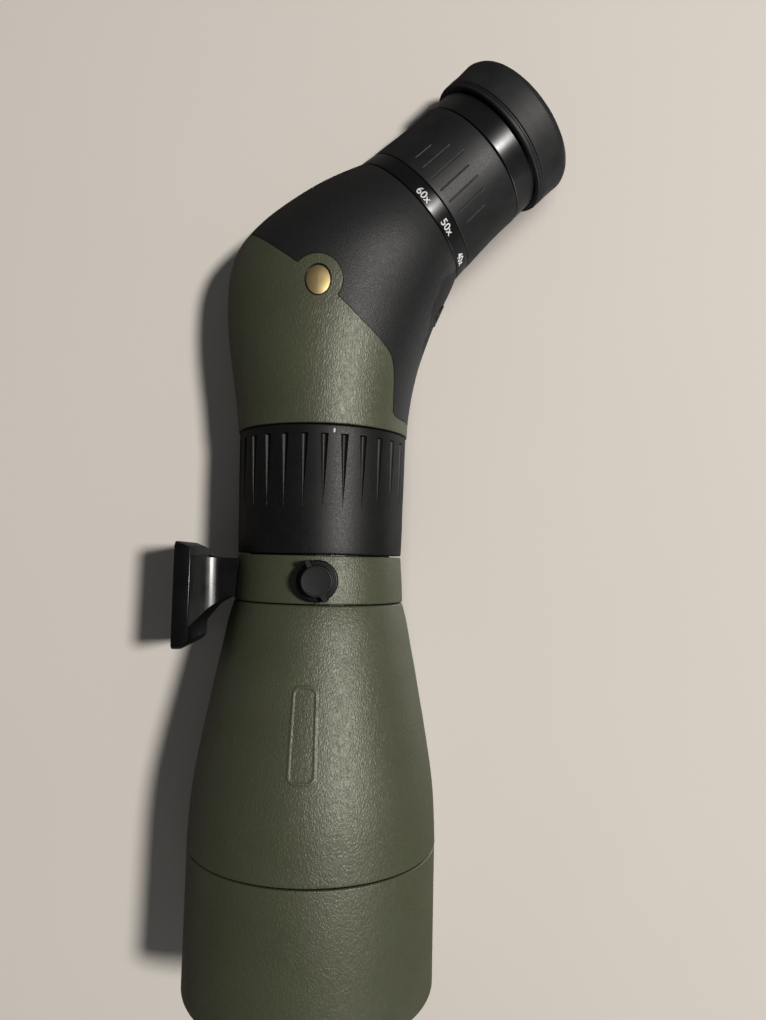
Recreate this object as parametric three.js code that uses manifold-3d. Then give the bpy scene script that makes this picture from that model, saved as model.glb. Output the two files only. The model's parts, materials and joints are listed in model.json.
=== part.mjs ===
// Angled (45 degree) prismatic spotting scope: sliding sunshade, barrel focus ring,
// rotating tripod collar with foot and clamp knob, roof prism housing, bayonet zoom
// eyepiece with twist-up eyecup. Millimetres, +Z up, +X towards the objective.
// Origin: centre of the flat base of the tripod foot. The parts are drawn in the body
// frame, whose X axis is the optical axis, or in the eyepiece frame, whose origin is
// the bend and whose X axis is the eyepiece axis, running rearwards and up.
import * as THREE from 'three';
import { mergeVertices } from 'three/addons/utils/BufferGeometryUtils.js';
import { ConvexGeometry } from 'three/addons/geometries/ConvexGeometry.js';
import Module from 'manifold-3d';

const wasm = await Module();
wasm.setup();
const { degToRad } = THREE.MathUtils;

// ---------------------------------------------------------------- shared dimensions
const AXIS_HEIGHT = 56.2;     // optical axis above the foot's base
const FOOT_X = 16.0;          // foot centre along the optical axis
const GAP = 0.3;              // running and assembly clearance
const ARMOUR = 1.9;           // rubber armour thickness

// stations along the optical axis
const X_RING_REAR = -50.74;   // prism housing ends, focus ring begins
const X_RING_FRONT = -0.9;    // focus ring ends, collar begins
const X_COLLAR_FRONT = 17.81; // collar ends, tapered body begins
const X_SHADE = 113.94;       // tapered body ends, sunshade begins
const X_BEND = -110.6;        // where the eyepiece axis meets the optical axis
const BEND = 45;              // degrees between the two axes

const R_TUBE = 29.0;          // main tube under the focus ring and collar
const R_TUBE_BORE = 26.6;
const R_ON_TUBE = R_TUBE + GAP; // bore of the parts that turn on the tube

// ---------------------------------------------------------------- materials
const finish = (settings) => () => new THREE.MeshStandardMaterial(settings);
const green = finish({ color: 0x3c4130, roughness: 0.62, metalness: 0 });
const rubber = finish({ color: 0x1b1b1d, roughness: 0.7, metalness: 0 });
const black = finish({ color: 0x101012, roughness: 0.3, metalness: 0.4 });
const aluminium = finish({ color: 0x232326, roughness: 0.45, metalness: 0.8 });
const steel = finish({ color: 0x8f9194, roughness: 0.35, metalness: 1 });
const brass = finish({ color: 0xb08d57, roughness: 0.4, metalness: 1 });
const gold = finish({ color: 0xa8884a, roughness: 0.3, metalness: 0.9 });
const glass = finish({
  color: 0xc8d4dc, roughness: 0.05, metalness: 0, transparent: true, opacity: 0.4,
});

// ---------------------------------------------------------------- mesh and solid helpers
// merges coincident corners, drops collapsed triangles and turns the faces outwards
function weld(source) {
  const loose = source.index ? source.toNonIndexed() : source.clone();
  loose.deleteAttribute('normal');
  loose.deleteAttribute('uv');
  const welded = mergeVertices(loose, 1e-4);
  const corner = (i) => new THREE.Vector3().fromBufferAttribute(welded.attributes.position, i);
  const corners = welded.index.array;
  const kept = [];
  let volume = 0;
  for (let i = 0; i < corners.length; i += 3) {
    const [a, b, c] = corners.slice(i, i + 3);
    if (a === b || b === c || a === c) continue;
    kept.push(a, b, c);
    volume += corner(a).dot(corner(b).cross(corner(c)));
  }
  if (volume < 0) {
    for (let i = 0; i < kept.length; i += 3) {
      [kept[i + 1], kept[i + 2]] = [kept[i + 2], kept[i + 1]];
    }
  }
  welded.setIndex(kept);
  return welded;
}

function asSolid(shape) {
  if (!shape.isBufferGeometry) return shape;
  const welded = weld(shape);
  return new wasm.Manifold(new wasm.Mesh({
    numProp: 3,
    vertProperties: new Float32Array(welded.attributes.position.array),
    triVerts: new Uint32Array(welded.index.array),
  }));
}

function asGeometry(shape) {
  let result;
  if (shape.isBufferGeometry) {
    result = weld(shape);
  } else {
    const mesh = shape.getMesh();
    const positions = new Float32Array(mesh.vertProperties);
    result = new THREE.BufferGeometry();
    result.setAttribute('position', new THREE.BufferAttribute(positions, 3));
    result.setIndex(new THREE.BufferAttribute(new Uint32Array(mesh.triVerts), 1));
  }
  result.computeVertexNormals();
  return result;
}

const cut = (shape, ...tools) => tools.reduce(
  (rest, tool) => rest.subtract(asSolid(tool)), asSolid(shape));
const join = (shape, ...others) => others.reduce(
  (sum, other) => sum.add(asSolid(other)), asSolid(shape));
const overlap = (shape, other) => asSolid(shape).intersect(asSolid(other));

// ---------------------------------------------------------------- shape helpers
// body of revolution about X; outline rows are [x, radius]
function turned(outline, segments) {
  const points = outline.map(([x, radius]) => new THREE.Vector2(radius, x));
  const endsOnAxis = outline[0][1] === 0 && outline.at(-1)[1] === 0;
  if (!endsOnAxis) points.push(points[0].clone());
  return new THREE.LatheGeometry(points, segments).rotateZ(-Math.PI / 2);
}
const tube = (start, end, inner, outer, segments) => turned(
  [[start, inner], [start, outer], [end, outer], [end, inner]], segments);

// cylinder along an axis; centre holds its two other coordinates in x, y, z order
function rod(axis, radius, from, to, centre, segments) {
  const cylinder = new THREE.CylinderGeometry(radius, radius, to - from, segments);
  const middle = (from + to) / 2;
  if (axis === 'x') return cylinder.rotateZ(Math.PI / 2).translate(middle, ...centre);
  if (axis === 'y') return cylinder.translate(centre[0], middle, centre[1]);
  return cylinder.rotateX(Math.PI / 2).translate(...centre, middle);
}
const box = (size, centre) => new THREE.BoxGeometry(...size).translate(...centre);

function extrude(outline, depth) {
  const shape = new THREE.Shape(outline.map((point) => new THREE.Vector2(...point)));
  return new THREE.ExtrudeGeometry(shape, { depth, bevelEnabled: false }).rotateX(Math.PI / 2);
}
// prism from a side-view outline [x, z]
const sidePrism = (outline, yStart, yEnd) => extrude(outline, yEnd - yStart)
  .translate(0, yEnd, 0);
// prism from an end-view outline [y, z]
const endPrism = (outline, xStart, xEnd) => extrude(outline, xEnd - xStart)
  .rotateZ(Math.PI / 2).translate(xStart, 0, 0);

// ---------------------------------------------------------------- groups
const scope = new THREE.Group();
scope.position.set(-FOOT_X, 0, AXIS_HEIGHT);
const eyepiece = new THREE.Group();
eyepiece.position.set(X_BEND, 0, 0);
eyepiece.rotation.y = degToRad(BEND - 180);
scope.add(eyepiece);

function add(name, shape, material, parent = scope) {
  const mesh = new THREE.Mesh(asGeometry(shape), material());
  mesh.name = name;
  parent.add(mesh);
}
const addToEyepiece = (name, shape, material) => add(name, shape, material, eyepiece);

// ---------------------------------------------------------------- main body
const R_CONE_REAR = 34.6;
// tapered body: [x, outer radius]
const CONE = [
  [X_COLLAR_FRONT, R_CONE_REAR], [25, 36.56], [45, 40.56], [65, 44.33],
  [85, 47.77], [95, 48.94], [X_SHADE - GAP / 2, 49.94],
];
const insetCone = (inset) => CONE.map(([x, radius]) => [x, radius - inset]);
const DRIVE_PIN_X = -25;      // focus drive pin, which passes through the tube's slot

function mainTube() {
  const [[, shoulderRadius], ...taper] = insetCone(ARMOUR + GAP);
  const body = turned([
    [-64, R_TUBE], [18.1, R_TUBE], [18.1, shoulderRadius], ...taper,
    [X_SHADE - GAP / 2, 45.9], [100.6, 45.9], [85, 43.6], [45, 36.4],
    [25, 32.4], [16, R_TUBE_BORE], [-64, R_TUBE_BORE],
  ], 32);
  return cut(body, box([21, 4.4, 8], [DRIVE_PIN_X, 0, 28]));
}
add('main_tube', mainTube(), aluminium);

const X_BODY_ARMOUR = X_COLLAR_FRONT + 0.6;
add('body_armour', turned([
  [X_BODY_ARMOUR, 34.3], [X_COLLAR_FRONT + 0.9, R_CONE_REAR + 0.15], ...CONE.slice(1),
  ...insetCone(ARMOUR).slice(1).reverse(), [X_BODY_ARMOUR, 34.7 - ARMOUR],
], 32), green);

// ---------------------------------------------------------------- objective
const R_NOSE = 46.6;          // objective barrel on which the sunshade slides
const R_NOSE_BORE = 43.4;
const R_CELL = R_NOSE_BORE - GAP;
const R_OBJECTIVE = 41;       // objective lenses
const R_CELL_BORE = R_OBJECTIVE + GAP;
const R_CELL_LIP = 39.3;

add('objective_barrel', turned([
  [101.4, 45.6], [113.9, 45.6], [113.9, R_NOSE], [163.6, R_NOSE],
  [163.6, R_NOSE_BORE], [101.4, R_NOSE_BORE],
], 32), aluminium);
add('objective_cell', turned([
  [128, R_CELL], [150, R_CELL], [150, R_CELL_BORE], [130.5, R_CELL_BORE],
  [130.5, R_CELL_LIP], [128, R_CELL_LIP],
], 24), aluminium);
add('objective_lens_rear', turned([
  [131, 0], [131, R_OBJECTIVE], [137.2, R_OBJECTIVE], [136.6, 30], [135.5, 18], [134.8, 0],
], 24), glass);
add('objective_spacer', tube(137.5, 138.5, R_CELL_LIP, R_OBJECTIVE, 24), aluminium);
add('objective_lens_front', turned([
  [136.4, 0], [136.9, 18], [137.75, 30], [138.8, R_OBJECTIVE],
  [142, R_OBJECTIVE], [145.3, 30], [147.1, 18], [147.8, 0],
], 24), glass);
add('objective_retainer', tube(143.2, 149.6, 39.6, R_OBJECTIVE, 24), aluminium);
add('objective_lock_ring', tube(150.4, 157, 41.0, R_CELL, 24), aluminium);
add('baffle_rear', tube(40, 41.2, 24, 35.2, 24), aluminium);
add('baffle_front', tube(88, 89.2, 33, 43.4, 24), aluminium);

// ---------------------------------------------------------------- sunshade
const X_FRONT = 169.39;       // front edge
const R_SHADE = 49.89;        // outer radius
const SHADE_REAR = X_SHADE + GAP / 2;

add('sunshade_tube', tube(SHADE_REAR + GAP, 164.9, 47.05, 48.0, 32), aluminium);
add('sunshade_armour', turned([
  [SHADE_REAR, 49.8], [X_FRONT - 2, R_SHADE], [X_FRONT - 0.6, R_SHADE - 0.6],
  [X_FRONT, R_SHADE - 1.9], [X_FRONT, 46.0], [X_FRONT - 1.2, 45.2],
  [165.3, 45.2], [165.3, 48.3], [SHADE_REAR, 48.3],
], 32), green);

// ---------------------------------------------------------------- focusing
const RING_REAR = X_RING_REAR + GAP;
const RING_FRONT = X_RING_FRONT - GAP;
const R_SLEEVE = 31.6;        // sleeve under the rubber grip
const R_FOCUS_LENS = 23.9;
const R_FOCUS_LIP = 22.2;
const GROOVE_COUNT = 28;
const GROOVE_START = 3.8;     // degrees up from the -Y side
// corners of one tapering groove cutter: [x, radius, half width]
const GROOVE = [[-47.0, 36, 1.5], [-46.6, 33.1, 0.75], [-19.5, 34.6, 0.12], [-19.5, 36, 0.3]];

add('focus_ring_sleeve', turned([
  [-50.3, R_ON_TUBE], [-50.3, R_SLEEVE], [-1.4, R_SLEEVE], [-1.4, R_ON_TUBE],
  [-13, R_ON_TUBE], [-13, 30.7], [-37, 30.7], [-37, R_ON_TUBE],
], 27), aluminium);

function grooveCutter(index) {
  const angle = degToRad(GROOVE_START + index * 360 / GROOVE_COUNT);
  const sine = Math.sin(angle);
  const cosine = Math.cos(angle);
  const place = (x, radius, side) => new THREE.Vector3(
    x, -radius * cosine + side * sine, radius * sine + side * cosine);
  return new ConvexGeometry(GROOVE.flatMap(([x, radius, half]) => [
    place(x, radius, half), place(x, radius, -half),
  ]));
}
const gripBlank = turned([
  [RING_REAR, 34.6], [-40, 34.5], [-20, 34.1], [RING_FRONT, 33.5],
  [RING_FRONT, R_SLEEVE + GAP], [RING_REAR, R_SLEEVE + GAP],
], 54);
const grooveCutters = Array.from({ length: GROOVE_COUNT }, (_, i) => grooveCutter(i));
add('focus_ring_grip', cut(gripBlank, ...grooveCutters), rubber);

add('focus_lens_cell', turned([
  [-34, R_TUBE_BORE - GAP], [-16, R_TUBE_BORE - GAP], [-16, R_FOCUS_LENS + GAP],
  [-31.5, R_FOCUS_LENS + GAP], [-31.5, R_FOCUS_LIP], [-34, R_FOCUS_LIP],
], 20), aluminium);
add('focus_lens', turned([
  [-31.1, 0], [-31.1, R_FOCUS_LENS], [-26, R_FOCUS_LENS], [-27.2, 12], [-27.8, 0],
], 20), glass);
add('focus_lens_retainer', tube(-25.6, -21, R_FOCUS_LIP, R_FOCUS_LENS, 20), aluminium);
add('focus_drive_pin', rod('z', 1.8, R_TUBE_BORE, 30.1, [DRIVE_PIN_X, 0], 10), steel);

// ---------------------------------------------------------------- tripod collar
const COLLAR_REAR = X_RING_FRONT + GAP;
const COLLAR_FRONT = 17.5;
const KNOB = { x: 8.75, z: 1.2, start: 35.1, skirt: 7.8, cap: 5.75, wing: 8.3 };
const FOOT_SCREWS = { rear: 4.4, front: 12.4 }; // x of the screws joining collar and foot
const footScrewHole = (x, radius, from, to) => rod('z', radius, from, to, [x, 0], 14);

const collarCutters = [rod('y', 3.4, -36, -28, [KNOB.x, KNOB.z], 20)];
for (const [place, x] of Object.entries(FOOT_SCREWS)) {
  collarCutters.push(footScrewHole(x, 1.8, -36, -28), footScrewHole(x, 3.0, -31.6, -28));
  // head up, shank pointing down
  const screw = turned([[0, 0], [0, 2.7], [1.5, 2.7], [1.5, 1.5], [11, 1.5], [11, 0]], 14);
  add(`foot_screw_${place}`, screw.rotateY(Math.PI / 2).translate(x, 0, -29.8), steel);
}
const collarBlank = turned([
  [COLLAR_REAR, 33.6], [8, 34.3], [COLLAR_FRONT, 34.75],
  [COLLAR_FRONT, R_ON_TUBE], [COLLAR_REAR, R_ON_TUBE],
], 36);
add('collar_ring', cut(collarBlank, ...collarCutters), green);

// ---------------------------------------------------------------- tripod foot
const FOOT = { base: 42.4, top: 36.4, width: 38, thick: 6.5 };
const FOOT_BOTTOM = -AXIS_HEIGHT;
const FOOT_TOP = FOOT_BOTTOM + FOOT.thick;
const SOCKET_OFFSET = 11;     // the two holes in the base, from the foot's centre
// side view of the arm: [x, z]
const ARM_SIDE = [
  [1.2, -30], [1.0, -42], [0.6, -46], [-0.4, FOOT_TOP - 0.2], [-0.4, FOOT_TOP - 1.5],
  [28.4, FOOT_TOP - 1.5], [28.4, FOOT_TOP - 0.1], [26.7, -48.3], [24.4, -46.1],
  [22.3, -44.3], [20.4, -42.4], [18.2, -38.7], [16.8, -36.4], [16.0, -34], [15.7, -30],
];
// end view of the arm, +Y half: [y, z]
const ARM_END = [
  [12.6, -30], [12.6, -41.6], [12.9, -43.4], [13.6, -45.4], [14.8, -47.2],
  [16.4, -48.8], [17.6, FOOT_TOP - 0.1], [17.6, FOOT_TOP - 1.5],
];
// space around the collar kept clear of the arm: [x, radius]
const COLLAR_CLEARANCE = [
  [-10, 0], [-10, 34.4], [-0.3, 34.0], [8, 34.62], [17.5, 35.12], [40, 35.5], [40, 0],
];

function footPlate() {
  const halfBase = FOOT.base / 2;
  const halfTop = FOOT.top / 2;
  const halfWidth = FOOT.width / 2;
  const topX = FOOT_X - 0.4;
  const side = [
    [FOOT_X - halfBase, FOOT_BOTTOM], [FOOT_X + halfBase, FOOT_BOTTOM],
    [FOOT_X + halfBase, FOOT_BOTTOM + 0.9], [topX + halfTop + 0.4, FOOT_TOP - 0.6],
    [topX + halfTop - 0.2, FOOT_TOP], [topX - halfTop + 0.2, FOOT_TOP],
    [topX - halfTop - 0.4, FOOT_TOP - 0.6], [FOOT_X - halfBase, FOOT_BOTTOM + 0.9],
  ];
  const chamfer = 0.7;
  const end = [
    [-halfWidth, FOOT_BOTTOM], [halfWidth, FOOT_BOTTOM],
    [halfWidth, FOOT_TOP - chamfer], [halfWidth - chamfer, FOOT_TOP],
    [-halfWidth + chamfer, FOOT_TOP], [-halfWidth, FOOT_TOP - chamfer],
  ];
  return overlap(sidePrism(side, -halfWidth, halfWidth), endPrism(end, -20, 60));
}

function tripodFoot() {
  const armEnd = [...ARM_END.map(([y, z]) => [-y, z]), ...ARM_END.toReversed()];
  const arm = overlap(sidePrism(ARM_SIDE, -25, 25), endPrism(armEnd, -5, 40));
  const socket = (x, radius) => rod('z', radius, FOOT_BOTTOM - 2, FOOT_BOTTOM + 5.2, [x, 0], 20);
  return cut(
    join(cut(arm, turned(COLLAR_CLEARANCE, 48)), footPlate()),
    ...Object.values(FOOT_SCREWS).map((x) => footScrewHole(x, 1.8, -41.6, -28)),
    socket(FOOT_X - SOCKET_OFFSET, 3.2),
    socket(FOOT_X + SOCKET_OFFSET, 4.8),
  );
}
add('tripod_foot', tripodFoot(), black);

// ---------------------------------------------------------------- clamp knob
// turns a part made along +X to point along -Y on the knob's axis
const onKnobAxis = (part) => part.rotateZ(-Math.PI / 2).translate(KNOB.x, 0, KNOB.z);

function collarKnob() {
  const { start, skirt, cap } = KNOB;
  const body = turned([
    [start, 3.6], [start, skirt - 0.3], [start + 1, skirt], [start + 3.6, skirt],
    [start + 4.4, skirt - 0.8], [start + 4.4, cap], [start + 7.5, cap],
    [start + 8.0, cap - 0.5], [start + 8.0, 0], [start + 3, 0], [start + 3, 3.6],
  ], 20);
  const wing = box([7.2, 2 * KNOB.wing, 2.2], [start + 4.3, 0, 0]).rotateX(degToRad(26));
  return join(body, cut(wing, rod('x', 3.9, start - 20, start + 20, [0, 0], 16)));
}
const R_CLAMP = 2.9;          // shoe and screw
const clampPin = (from, to, segments) => onKnobAxis(turned(
  [[from, 0], [from, R_CLAMP], [to, R_CLAMP], [to, 0]], segments));
add('collar_knob', onKnobAxis(asGeometry(collarKnob())), black);
add('clamp_shoe', clampPin(R_ON_TUBE, 30.3, 16), brass);
add('clamp_screw', clampPin(30.7, KNOB.start + 2.6, 20), steel);

// ---------------------------------------------------------------- prism housing
// sections from focus ring to eyepiece, each an ellipse:
// [inner-bend x, z, outer-bend x, z, half depth in y]
const HOUSING = [
  [X_RING_REAR, 35.2, X_RING_REAR, -35.2, 35.2],
  [-58, 35.6, -58, -36.0, 35.8],
  [-67, 36.7, -68, -37.3, 36.6],
  [-76, 38.4, -79, -39.1, 37.4],
  [-84.5, 40.6, -91, -40.8, 38.1],
  [-93, 43.4, -104, -41.7, 38.6],
  [-100, 45.9, -117, -41.2, 38.8],
  [-105.8, 48.4, -128, -37.7, 38.6],
  [-110.3, 50.3, -138.4, -29.3, 38.0],
  [-113.7, 51.8, -147.5, -18.6, 36.8],
  [-116.7, 53.1, -155.1, -8.0, 35.1],
  [-119.5, 54.2, -160.8, 1.6, 33.1],
  [-122.0, 55.1, -165.7, 11.4, 30.9],
];
// lower edge of the upper (black) armour in the side view: [x, z]
const SPLIT = [
  [-138, -38.5], [-128.9, -29.7], [-122.0, -22.4], [-116.5, -15.9], [-111.2, -9.3],
  [-113.4, -7.5], [-114.4, -5.75], [-115.0, -3.2], [-115.0, -1.0], [-114.5, 1.2],
  [-113.4, 3.2], [-111.8, 4.9], [-109.6, 6.4], [-106.9, 7.5], [-104.3, 7.8],
  [-101.8, 7.3], [-98.8, 6.3], [-95.1, 10.3], [-90.4, 15.5], [-86.2, 20.8],
  [-83.0, 24.8], [-80.0, 27.1], [-75.7, 28.2], [-66.7, 28.5], [-58.2, 28.5],
  [-56.6, 29.4], [-56.3, 31.0], [-56.3, 60],
];
const BADGE = { x: -104.7, z: -1.6, radiusX: 6.0, radiusZ: 4.9 };
const BUTTON = { x: -104.6, radius: 4.5 };
const PRISM_SCREWS = { a: 45, b: 165, c: 285 }; // degrees from +Y towards +Z
const PRISM_SCREW_CIRCLE = 30.4;

// Catmull-Rom section at a station: 0 at the focus ring, 12 at the eyepiece
function sectionAt(station) {
  const last = HOUSING.length - 1;
  const i = Math.min(Math.floor(station), last - 1);
  const t = station - i;
  const mirror = (row, other) => row.map((value, k) => 2 * value - other[k]);
  const start = HOUSING[i];
  const end = HOUSING[i + 1];
  const before = HOUSING[i - 1] ?? mirror(start, end);
  const after = HOUSING[i + 2] ?? mirror(end, start);
  return start.map((value, k) => 0.5 * (2 * value + (end[k] - before[k]) * t
    + (2 * before[k] - 5 * value + 4 * end[k] - after[k]) * t ** 2
    + (3 * value - before[k] - 3 * end[k] + after[k]) * t ** 3));
}

// housing shrunk by inset between two stations; past runs it on beyond both ends
function loft({ inset, from = 0, to = HOUSING.length - 1, steps = 12, around = 28, past = 0 }) {
  const sections = Array.from({ length: steps + 1 },
    (_, k) => sectionAt(from + (to - from) * k / steps));
  if (past) {
    const shifted = ([innerX, innerZ, outerX, outerZ, depth], x, z) => [
      innerX + x, innerZ + z, outerX + x, outerZ + z, depth];
    const angle = degToRad(BEND);
    const beyond = shifted(sections.at(-1), -past * Math.cos(angle), past * Math.sin(angle));
    sections.unshift(shifted(sections[0], past, 0));
    sections.push(beyond);
  }
  const positions = [];
  for (const [innerX, innerZ, outerX, outerZ, depth] of sections) {
    const length = Math.hypot(innerX - outerX, innerZ - outerZ);
    const scale = (length / 2 - inset) / length;
    for (let j = 0; j < around; j += 1) {
      const angle = 2 * Math.PI * j / around;
      const reach = scale * Math.cos(angle);
      positions.push(
        (innerX + outerX) / 2 + (innerX - outerX) * reach,
        -(depth - inset) * Math.sin(angle),
        (innerZ + outerZ) / 2 + (innerZ - outerZ) * reach,
      );
    }
  }
  const triangles = [];
  const lastRing = (sections.length - 1) * around;
  for (let base = 0; base < lastRing; base += around) {
    for (let j = 0; j < around; j += 1) {
      const a = base + j;
      const b = base + (j + 1) % around;
      triangles.push(a, b, b + around, a, b + around, a + around);
    }
  }
  for (let j = 1; j < around - 1; j += 1) {
    triangles.push(0, j + 1, j, lastRing, lastRing + j, lastRing + j + 1);
  }
  const surface = new THREE.BufferGeometry();
  surface.setAttribute('position', new THREE.Float32BufferAttribute(positions, 3));
  surface.setIndex(triangles);
  return surface;
}

// side-view region of the upper armour; a positive shift shrinks it
function upperRegion(shift) {
  const edge = SPLIT.map(([x, z], i) => {
    const before = SPLIT[Math.max(0, i - 1)];
    const after = SPLIT[Math.min(SPLIT.length - 1, i + 1)];
    const alongX = after[0] - before[0];
    const alongZ = after[1] - before[1];
    const length = Math.hypot(alongX, alongZ);
    return [x - alongZ / length * shift, z + alongX / length * shift];
  });
  return sidePrism([...edge, [-200, 60], [-200, edge[0][1]]], -60, 60);
}

const armourShell = cut(loft({ inset: 0 }), loft({ inset: ARMOUR, past: 6 }));
const buttonHole = asSolid(rod('z', BUTTON.radius + 0.4, 30, 70, [BUTTON.x, 0], 16));
const onBadge = (unitDisc, grow) => unitDisc
  .scale(BADGE.radiusX + grow, 1, BADGE.radiusZ + grow).translate(BADGE.x, 0, BADGE.z);
const badgePocket = onBadge(rod('y', 1, -43, -33, [0, 0], 24), GAP);
add('housing_armour_lower',
  cut(armourShell, upperRegion(-GAP / 2), badgePocket, buttonHole), green);
add('housing_armour_upper',
  cut(overlap(armourShell, upperRegion(GAP / 2)), buttonHole), rubber);

const prismScrewCentre = (degrees) => [Math.cos, Math.sin].map(
  (component) => PRISM_SCREW_CIRCLE * component(degToRad(degrees)));
const prismScrewHoles = (from, to) => Object.values(PRISM_SCREWS).map(
  (degrees) => rod('x', 1.3, from, to, prismScrewCentre(degrees), 10));

function housingCore() {
  const inset = ARMOUR + GAP;
  const wall = 2.3;
  const cavity = loft({ inset: inset + wall, from: 0.55, to: 11.5, steps: 7, around: 22 });
  const flange = overlap(tube(-95.7, -92.4, 27.5, 60, 18),
    loft({ inset: 3.4, from: 3, to: 7, steps: 4, around: 18 }));
  const socketBore = rod('x', 24.3, 36, 56, [0, 0], 24)
    .rotateY(degToRad(BEND - 180)).translate(X_BEND, 0, 0);
  return cut(
    join(cut(loft({ inset }), cavity), flange),
    rod('x', R_TUBE + 0.4, -70, -45, [0, 0], 32),
    socketBore,
    buttonHole,
    ...prismScrewHoles(-97, -92),
  );
}
add('housing_core', housingCore(), aluminium);

// badge on the -Y side: dark bezel and domed blank insert set in the lower armour
function badgeDisc({ grow, from, to, dome = 0 }) {
  const crown = dome ? [[to + dome * 0.6, 0.7], [to + dome * 0.92, 0.36]] : [];
  const outline = [[from, 0], [from, 1], [to, 1], ...crown, [to + dome, 0]];
  return onBadge(turned(outline, 20).rotateZ(-Math.PI / 2), grow);
}
add('badge_bezel', cut(
  badgeDisc({ grow: 0, from: 36.9, to: 38.55 }),
  badgeDisc({ grow: -0.75, from: 37.6, to: 40 }),
), black);
add('badge_insert', badgeDisc({ grow: -1.05, from: 37.9, to: 38.45, dome: 0.55 }), gold);

// ---------------------------------------------------------------- roof prism
// Schmidt prism: entry face square to the main axis, exit face square to the eyepiece axis
const PRISM_FACE = 50;        // face length
const PRISM_X = X_BEND + (Math.SQRT2 - 1) / 2 * PRISM_FACE; // entry face

function roofPrism() {
  const halfWidth = 15;
  const roofStart = 0.675;    // share of each face before the roof narrows it
  const apex = [PRISM_X, PRISM_FACE / 2];
  const drop = PRISM_FACE * Math.SQRT1_2 - 1.2;
  const tips = [[PRISM_X, -PRISM_FACE / 2 + 2], [PRISM_X - drop, PRISM_FACE / 2 - drop]];
  const shoulders = tips.map((tip) => tip.map(
    (value, k) => apex[k] + (value - apex[k]) * roofStart));
  const corner = ([x, z], y) => new THREE.Vector3(x, y, z);
  const bothSides = (point) => [corner(point, halfWidth), corner(point, -halfWidth)];
  return new ConvexGeometry([
    ...bothSides(apex), ...tips.map((tip) => corner(tip, 0)), ...shoulders.flatMap(bothSides),
  ]);
}
add('roof_prism', roofPrism(), glass);

for (const [letter, degrees] of Object.entries(PRISM_SCREWS)) {
  const screw = turned([[0, 0], [0, 1.0], [6.2, 1.0], [6.2, 1.9], [7.7, 1.9], [7.7, 0]], 8);
  add(`prism_screw_${letter}`,
    screw.rotateY(Math.PI).translate(-93.7, ...prismScrewCentre(degrees)), steel);
}

function prismCage() {
  const plate = cut(rod('x', 33.0, -99.7, -96.0, [0, 0], 24),
    rod('x', 16, -103, -90, [0, 0], 20));
  const cheek = [[-97, 23.2], [PRISM_X - 2, 23.2], [-129, -3.2], [-131, -6], [-97, -16]];
  const frame = join(plate, sidePrism(cheek, -17.5, -15.3), sidePrism(cheek, 15.3, 17.5),
    box([12, 8, 1.4], [-103.0, 0, 31.6]));
  return cut(frame, ...prismScrewHoles(-103, -92));
}
add('prism_cage', prismCage(), aluminium);
add('prism_clip', box([7, 35, 0.8], [-104.6, 0, 26.0]), steel);
addToEyepiece('eyepiece_socket', tube(39.2, 46.8, 20.7, 23.9, 24), steel);

// ---------------------------------------------------------------- release button
// on the inner bend, pressed straight down
const buttonStem = overlap(
  rod('z', BUTTON.radius, 37.2, 60, [BUTTON.x, 0], 16), loft({ inset: -0.45 }));
const buttonFlange = rod('z', BUTTON.radius + 1.4, 36.4, 38.0, [BUTTON.x, 0], 16);
add('release_button', join(buttonStem, buttonFlange), black);

const SPRING = { turns: 2, bottom: 33.75, top: 35.7, radius: 2.6, wire: 0.4 };
class Coil extends THREE.Curve {
  getPoint(t, target = new THREE.Vector3()) {
    const angle = 2 * Math.PI * SPRING.turns * t;
    return target.set(
      BUTTON.x + SPRING.radius * Math.cos(angle),
      SPRING.radius * Math.sin(angle),
      SPRING.bottom + (SPRING.top - SPRING.bottom) * t,
    );
  }
}
const wireSection = new THREE.Shape(Array.from({ length: 5 }, (_, i) => {
  const angle = i * 2 * Math.PI / 5;
  return new THREE.Vector2(SPRING.wire * Math.cos(angle), SPRING.wire * Math.sin(angle));
}));
add('button_spring', new THREE.ExtrudeGeometry(wireSection, {
  steps: 24, extrudePath: new Coil(), bevelEnabled: false,
}), steel);

// ---------------------------------------------------------------- eyepiece
// stations along the eyepiece axis
const T_SEAT = 47.04;         // housing ends, zoom scale ring begins
const T_GRIP = 54.18;         // scale band ends, rubber grip begins
const T_UPPER = 85.2;         // grip ends, fixed upper ring begins
const T_CUP = 96.12;          // lower edge of the eyecup
const T_END = 113.3;          // outer rim of the eyecup
const R_BARREL = 24.6;
const R_BARREL_BORE = 22.4;
const R_ON_BARREL = R_BARREL + GAP;
const R_ZOOM_CELL = R_BARREL_BORE - GAP;
const R_ZOOM_LENS = 19.4;
const R_EYE_LENS = 17.7;
// moving zoom cells; slots and pins lie on the barrel's -Z side
const ZOOM_CELLS = [
  {
    name: 'front', start: 54, slot: [52.5, 65.5], pin: 59,
    lens: [[55.2, 0], [56.4, 10], [56.6, R_ZOOM_LENS], [60.5, R_ZOOM_LENS], [61.6, 0]],
  },
  {
    name: 'rear', start: 73, slot: [70, 83], pin: 77,
    lens: [[75.3, 0], [75.3, R_ZOOM_LENS], [79.5, R_ZOOM_LENS], [78, 10], [77.4, 0]],
  },
];

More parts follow.
